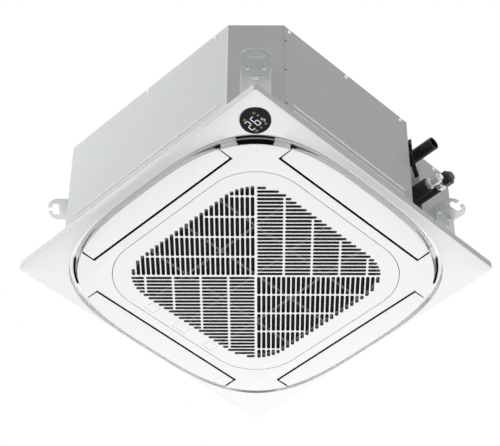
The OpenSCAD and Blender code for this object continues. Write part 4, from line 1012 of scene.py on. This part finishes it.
class CASSETTE_OT_grille(bpy.types.Operator):
    """Make the slotted intake grille with its hinge arms, latches, screw cover and filter net"""

    bl_idname = "cassette.grille"
    bl_label = "Intake grille"

    ROWS, COLUMNS = 32, 6

    def execute(self, context):
        x = 16 - GRILLE_HALF
        bm = in_mm(self.slotted_plate(context.scene.cassette_pattern, x))
        for y in (-HINGE_AT, HINGE_AT):
            self.hinge_arm(bm, y)
        piece = new_piece("grille_plate", mesh_of(bm, False), "grille", finish_of("panel_white"), 30)
        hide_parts(*GRILLE_NODES)

        for name, node, body, y, w, h in (
            ("latch_plate_1", "latch_1", "latch_a", -75.5, 18, 21.7),
            ("latch_plate_2", "latch_2", "latch_b", 75.5, 18, 21.7),
            ("cover_plate", "screw_cover", "grille", 0, 18, 30),
        ):
            bm = plan_plate([box_loop(x - w / 2, y - h / 2, x + w / 2, y + h / 2)], FACE_Z, FACE_Z + 3.6, 0.5)
            join(bm, plan_plate([box_loop(x - w / 2 - 1.5, y - h / 2 - 3, x + w / 2 + 1.5, y + h / 2 + 3)],
                                FACE_Z + 3.3, FACE_Z + 4.8))
            if node != "screw_cover":
                add_rod(bm, (x, y, FACE_Z + 3), (x, y, FACE_Z + 7.5), 4.5)
            piece = new_piece(name, mesh_of(bm), body, finish_of("panel_white"))
            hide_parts(node)
        self.filter_net(context.scene.cassette_pattern)
        return {"FINISHED"}

    def slotted_plate(self, pattern, x):
        """The plate, thin where its slots are, with rounded front edges."""
        p = Layout("grille_slots", half=GRILLE_HALF, corner_radius=GRILLE_R, field_half=FIELD_HALF + 1,
                   field_radius=FIELD_R + 1, slot_width=pattern.slot_w / MM, slot_pitch=pattern.slot_pitch / MM,
                   bar_width=pattern.bar_w / MM, rib_pitch=pattern.rib_pitch / MM, rib_width=pattern.rib_w / MM,
                   slat_depth=pattern.slat_t / MM, plate_depth=3.0)
        half, corner, field, radius, w, pitch, bar, ribs, rib, slat, depth = p.sizes
        slots = self.slots(p, field, radius, w, pitch, bar, ribs, rib)
        quads = []
        for wide, high, y in ((18.8, 22.5, -75.5), (18.8, 22.5, 75.5), (18.8, 30.8, 0)):
            quad = p.node("GeometryNodeCurvePrimitiveQuadrilateral", None, {"Width": wide * MM, "Height": high * MM})
            quads.append(p.shifted(quad, (x * MM, y * MM, 0)))
        rim = p.round_quad(half, corner, 40)
        front = p.plate(p.joined(rim, slots, *quads), slat)
        inner = p.round_quad(field + 3 * MM, radius + 3 * MM, 30)
        back = p.shifted(p.plate(p.joined(rim, inner, *quads), depth - slat), p.spot(z=slat))
        whole = p.shifted(p.joined(front, back), (0, 0, FACE_Z * MM))
        mesh = p.mesh(whole, finish_of("panel_white"))

        def soften(obj):
            bevel = obj.modifiers.new("edges", "BEVEL")
            bevel.width, bevel.segments, bevel.limit_method = 0.2 * MM, 1, "ANGLE"
            bevel.angle_limit = math.radians(60)

        return modified(mesh, soften)

    def slots(self, p, field, radius, w, pitch, bar, ribs, rib):
        """Every slot's outline: four quarters between the diagonal bars, cut by the cross ribs."""
        index = p.index()
        row = (index / self.COLUMNS + 0.001).whole()
        column = index - row * self.COLUMNS
        v = (bar + w) * 0.5 + row * pitch
        far = v + w * 0.5
        diagonal = math.sqrt(2)
        straight = (field - radius) * diagonal
        past = far - straight
        by_corner = far < radius * (1 / diagonal)
        by_side = far < (field * 2 - radius) * (1 / diagonal)
        beside = by_side * (field * diagonal - far) + (1 - by_side) * (radius * radius - past * past).root()
        reach = by_corner * (straight + (radius * radius - far * far).root()) + (1 - by_corner) * beside
        start = column * ribs + rib * 0.5 + (column < 0.5) * (bar - rib) * 0.5
        full = (column + 1) * ribs - rib * 0.5
        shortest = w * 1.6
        merged = (reach - full - rib) < shortest
        stop = merged * reach + (1 - merged) * full
        points = p.moved(p.line(self.ROWS * self.COLUMNS), p.spot((start + stop) * 0.5, v * -1.0))
        points = p.store(points, "stretch", (stop - start - w) * 0.5)
        points = p.node("GeometryNodeDeleteGeometry", None, [points, (stop - start) < shortest])

        circle = p.node("GeometryNodeCurvePrimitiveCircle", None, {"Resolution": 16, "Radius": w * 0.51})
        circle = p.shifted(circle, turn=(0, 0, math.pi / 16))
        place = p.node("ShaderNodeSeparateXYZ", None, [p.node("GeometryNodeInputPosition")])
        circle = p.store(circle, "side", place.sum("SIGN", place))
        quarter = p.copies(points, circle)
        quarter = p.moved(quarter, offset=p.spot(p.stored("side") * p.stored("stretch")))
        turns = p.spot(z=(p.index() + 0.5) * (math.pi / 2))
        return p.copies(p.line(4), quarter, turns)

    def hinge_arm(self, bm, y):
        """One gooseneck arm: an eye on the pin, a bar up, a quarter ring and a foot on the plate."""
        cx, cz = HINGE
        inner, outer, w = 9.32, 11.32, 3.0
        add_rod(bm, (cx, y - w, cz), (cx, y + w, cz), 3, segments=32)
        add_rod(bm, (cx, y - 7.3, cz), (cx, y + 7.3, cz), 1.5)
        add_box(bm, (cx - 1, y - w, cz), (cx + 1, y + w, cz + 10.3))
        rows = []
        for i in range(25):
            a = math.radians(84 + (191 - 84) * i / 24)
            rows.append([bm.verts.new((cx + r * math.cos(a), y + side, cz + r * math.sin(a)))
                         for r, side in ((inner, -w), (outer, -w), (outer, w), (inner, w))])
        for low, high in zip(rows, rows[1:]):
            for j in range(4):
                k = (j + 1) % 4
                bm.faces.new((low[j], high[j], high[k], low[k]))
        bm.faces.new(rows[0])
        bm.faces.new(list(reversed(rows[-1])))
        add_box(bm, (cx - inner - 11, y - w, cz - 2), (cx - inner - 1, y + w, cz + 0.5))

    def filter_net(self, pattern):
        """Threads both ways on both faces of the filter's net."""
        p = Layout("filter_threads", half=181.5, corner_radius=77.5, thread=0.28, pitch=pattern.net_pitch / MM,
                   rows=181)
        half, radius, thread, pitch, rows = p.sizes
        along = (p.index() - (rows - 1) * 0.5) * pitch
        over = along.sum("MAXIMUM", along.sum("ABSOLUTE", along) - (half - radius), 0.0)
        reach = half - radius + (radius * radius - over * over).root()
        points = p.moved(p.line(rows), p.spot(along))
        rod = p.node("GeometryNodeMeshCube", None, {"Size": (1, 1, 1)})
        one = p.copies(points, rod, scale=p.spot(thread, reach * 2, thread))
        other = p.shifted(one, (0, 0, 0.1 * MM), (0, 0, math.pi / 2))
        both = p.joined(one, other)
        z = (FACE_Z + 3.5 + 0.3 + 3.7) * MM
        whole = p.joined(p.shifted(both, (0, 0, z - 0.42 * MM)), p.shifted(both, (0, 0, z + 0.32 * MM)))
        new_piece("filter_threads", p.mesh(whole, finish_of("filter_net")), "grille",
                  finish_of("filter_net"))


class CASSETTE_OT_display(bpy.types.Operator):
    """Make the figures and small lights of the round display"""

    bl_idname = "cassette.display"
    bl_label = "Display"

    # Bars of a seven-bar figure: from and to, in figure widths and heights
    BARS = {
        "a": ((0, 2), (1, 2)), "b": ((1, 2), (1, 1)), "c": ((1, 1), (1, 0)), "d": ((0, 0), (1, 0)),
        "e": ((0, 1), (0, 0)), "f": ((0, 2), (0, 1)), "g": ((0, 1), (1, 1)),
    }

    def execute(self, context):
        white = bmesh.new()
        self.figure(white, "abged", 246.0, -253.2, 7.4, -9.8, 1.5)
        self.figure(white, "acdefg", 259.8, -253.2, 7.4, -9.8, 1.5)
        self.figure(white, "acdfg", 272.6, -252.8, 4.4, -3.6, 0.9)
        self.place(white, "display_figures", "digit_white")
        amber = bmesh.new()
        for x, y in ((251.5, -277.8), (273.0, -276.8), (250.5, -247.6), (272.2, -247.2)):
            self.ring(amber, x, y, 2.6, 1.9)
            self.ring(amber, x, y, 0.9, 0.0)
        self.place(amber, "display_lights_amber", "icon_amber")
        grey = bmesh.new()
        for x, y in ((274.3, -268.8), (261.0, -246.8)):
            self.ring(grey, x, y, 1.8, 1.0)
        self.place(grey, "display_lights_grey", "icon_grey")
        return {"FINISHED"}

    def onto(self, x, y, lift):
        """A point of the plan, carried up onto the tilted face of the window."""
        u = ((x - DISPLAY_AT) - (y + DISPLAY_AT)) / math.sqrt(2)
        v = ((x - DISPLAY_AT) + (y + DISPLAY_AT)) / math.sqrt(2)
        return (u / math.cos(DISPLAY_TILT), v, -DISPLAY_PROUD - lift)

    def figure(self, bm, bars, x, y, w, h, t):
        for key in bars:
            (x0, y0), (x1, y1) = self.BARS[key]
            a = Vector((x + w * x0, y + h * y0))
            b = Vector((x + w * x1, y + h * y1))
            along = (b - a).normalized()
            across = Vector((-along.y, along.x)) * t / 2
            a, b = a + along * 0.5 * t, b - along * 0.5 * t
            tip = along * t / 2
            points = [a - tip * 0.6, a + across, b + across, b + tip * 0.6, b - across, a - across]
            self.solid(bm, points)

    def ring(self, bm, x, y, outer, inner, steps=24):
        circle = [ray(2 * math.pi * i / steps) for i in range(steps)]
        middle = Vector((x, y))
        if inner == 0:
            self.solid(bm, [middle + d * outer for d in circle])
            return
        for i in range(steps):
            d, e = circle[i], circle[(i + 1) % steps]
            self.solid(bm, [middle + d * inner, middle + d * outer, middle + e * outer, middle + e * inner])

    def solid(self, bm, points):
        """A thin plate on the window's face."""
        near = [bm.verts.new(self.onto(p.x, p.y, 0.08)) for p in points]
        far = [bm.verts.new(self.onto(p.x, p.y, 0.0)) for p in points]
        bm.faces.new(near)
        bm.faces.new(list(reversed(far)))
        for i in range(len(points)):
            k = (i + 1) % len(points)
            bm.faces.new((near[i], far[i], far[k], near[k]))

    def place(self, bm, name, finish):
        mesh = mesh_of(bm)
        mesh.transform(display_place())
        new_piece(name, mesh, "casing", finish_of(finish))


class CASSETTE_OT_cabinet(bpy.types.Operator):
    """Make the pressed beads, corner folds and tab slots of the cabinet's sheets, with painted highlight and shade on
    them
    """

    bl_idname = "cassette.cabinet"
    bl_label = "Cabinet details"

    def execute(self, context):
        # The pressed beads are painted in zinc lighter than the sheet: painted highlight along them
        beads = bmesh.new()
        for side, low, high in ((0, -190.5, 97.0), (3, -191.5, 191.5), (2, -191.5, 191.5), (1, -97.0, 191.5)):
            for z, r in ((57.0, 2.0), (44.0, 1.3)):
                self.bead(beads, side, low, high, z, r)
        new_piece("cabinet_beads", mesh_of(beads), "casing", finish_of("edge_zinc"), 50)

        # Rods in zinc lighter than the sheet along the corner folds: painted highlight on the folds
        folds = bmesh.new()
        for x, y in self.corners()[1:]:
            add_rod(folds, (x, y, 0.5), (x, y, BODY_H - 1), 1.0, segments=12)
        new_piece("cabinet_folds", mesh_of(folds), "casing", finish_of("edge_zinc"), 50)

        # The tabs are alike on every side: on sides 0 and 2 they are black boxes as painted shade, on sides 1 and 3
        # lighter zinc as painted highlight
        for name, sides, finish in (("slots", (0, 2), "slot_shadow"), ("ends", (1, 3), "edge_zinc")):
            bm = bmesh.new()
            for side in sides:
                for end in (-1, 1):
                    if side == 0 and end == 1 or side == 1 and end == -1:
                        continue
                    for z in (220.0, 139.0, 50.0):
                        self.tab(bm, side, end * CUT_SIDE, z)
            new_piece("cabinet_tab_" + name, mesh_of(bm), "casing", finish_of(finish), 50)
        self.hanger_screws()

        strips, seams = bmesh.new(), bmesh.new()
        # Thin rods in zinc lighter than the sheet along the hanger straps' edges: painted highlight
        for degrees in (-45, -135, 135):
            a = math.radians(degrees)
            c, s = math.cos(a), math.sin(a)
            out = FACE_OUT + 1.9
            for y in (-26.6, 26.6):
                add_rod(strips, (out * c - y * s, out * s + y * c, 32), (out * c - y * s, out * s + y * c, 139), 0.55,
                        segments=10)
            for y in (-26.0, 26.0):
                flip = math.copysign(1, y)
                low = (out * c - y * s, out * s + y * c)
                high = (out * c - (y - flip * 9) * s, out * s + (y - flip * 9) * c)
                add_rod(strips, (*low, 140.4), (*high, 140.4), 0.5, segments=10)
        new_piece("hanger_strap_edge_highlights", mesh_of(strips), "casing", finish_of("edge_zinc"), 50)
        for x, y in ((BODY_HALF - 0.3, -CUT_SIDE + 0.4), (-BODY_HALF + 0.3, CUT_SIDE - 0.4)):
            add_box(seams, (x - 0.4, y - 0.12, 52), (x + 0.4, y + 0.12, BODY_H - 2))
        new_piece("cabinet_seams", mesh_of(seams), "casing", finish_of("slot_shadow"))
        return {"FINISHED"}

    def hanger_screws(self):
        """Cross-recessed heads, three on each hanger hook."""
        p = Layout("hanger_screws", head_radius=4.0, head_height=2.5, gap=30.0)
        r, h, gap = p.sizes
        head = p.node("GeometryNodeMeshCone", None, {
            "Vertices": 32, "Radius Top": r * 0.72, "Radius Bottom": r, "Depth": h}, output="Mesh")
        cuts = [p.shifted(p.block(*size), (0, 0, 2.6 * MM)) for size in ((5.2, 1.1, 2.4), (1.1, 5.2, 2.4))]
        head = p.without(head, *cuts)
        place = p.index()
        hook = (place / 3).sum("FLOOR", place / 3)
        which = place - hook * 3
        last = hook > 2.5
        angle = (1 - last) * (hook * -90 - 45) * math.radians(1)
        x = last * (STEP_AT - FACE_OUT) * MM + (FACE_OUT + 2.0) * MM
        y = last * STEP_Y * MM + (which < 1.5) * (which * gap - gap * 0.5)
        z = (which > 1.5) * (108.5 - 136.6) * MM + 136.6 * MM
        c, s = angle.sum("COSINE", angle), angle.sum("SINE", angle)
        spots = p.moved(p.line(12), p.spot(x * c - y * s, x * s + y * c, z))
        placed = p.copies(spots, head, p.spot(0, math.pi / 2, angle))
        piece = new_piece("hanger_screw_heads", p.mesh(placed, finish_of("bright_screws")), "casing",
                          finish_of("bright_screws"), 30)
        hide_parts("hanger_screws")

    def corners(self):
        k, b = CUT_SIDE, BODY_HALF
        inner = 0.55
        made = []
        for x, y in ((b, -k), (k, -b), (-k, -b), (-b, -k), (-b, k), (-k, b)):
            made.append((x - math.copysign(inner, x), y - math.copysign(inner, y)))
        return made

    def bead(self, bm, side, low, high, z, r):
        """A half-round bead pressed out of the sheet, with round ends."""
        add_rod(bm, turned([(BODY_HALF - 0.1, low, z)], side)[0], turned([(BODY_HALF - 0.1, high, z)], side)[0], r,
                segments=16)
        for y in (low, high):
            bmesh.ops.create_uvsphere(bm, u_segments=16, v_segments=8, radius=r,
                                      matrix=Matrix.Translation(turned([(BODY_HALF - 0.1, y, z)], side)[0]))

    def tab(self, bm, side, y, z):
        inward = -math.copysign(1, y)
        corners = turned([(BODY_HALF - 0.4, y + inward * 1.2, z - 1.1),
                          (BODY_HALF + 0.15, y + inward * 7.0, z + 1.1)], side)
        low = [min(a, b) for a, b in zip(*corners)]
        high = [max(a, b) for a, b in zip(*corners)]
        add_box(bm, low, high)


class CASSETTE_PT_panel(bpy.types.Panel):
    """Lists the steps that build the cassette"""

    bl_idname = "CASSETTE_PT_panel"
    bl_label = "Ceiling cassette"
    bl_space_type = "VIEW_3D"
    bl_region_type = "UI"
    bl_category = "Cassette"

    def draw(self, context):
        for step in STEPS:
            self.layout.operator(step.bl_idname)
        for group in (context.scene.cassette_stage, context.scene.cassette_finish, context.scene.cassette_pattern):
            for name in group.bl_rna.properties.keys():
                if name not in ("rna_type", "name"):
                    self.layout.prop(group, name)


GROUPS = {
    "cassette_stage": StageSettings,
    "cassette_finish": FinishSettings,
    "cassette_pattern": PatternSettings,
}
STEPS = (
    CASSETTE_OT_stage, CASSETTE_OT_finishes, CASSETTE_OT_panel, CASSETTE_OT_louvers, CASSETTE_OT_grille,
    CASSETTE_OT_display, CASSETTE_OT_cabinet,
)


def register():
    for group in (*GROUPS.values(), *STEPS, CASSETTE_PT_panel):
        bpy.utils.register_class(group)
    for name, group in GROUPS.items():
        setattr(bpy.types.Scene, name, bpy.props.PointerProperty(type=group))


def unregister():
    for name in GROUPS:
        delattr(bpy.types.Scene, name)
    for group in reversed((*GROUPS.values(), *STEPS, CASSETTE_PT_panel)):
        bpy.utils.unregister_class(group)


def main():
    register()
    for step in STEPS:
        group, name = step.bl_idname.split(".")
        getattr(getattr(bpy.ops, group), name)()
    for obj in list(bpy.data.objects):
        if obj.name in ("Cube", "Light", "Camera"):
            bpy.data.objects.remove(obj)


if __name__ == "__main__":
    main()
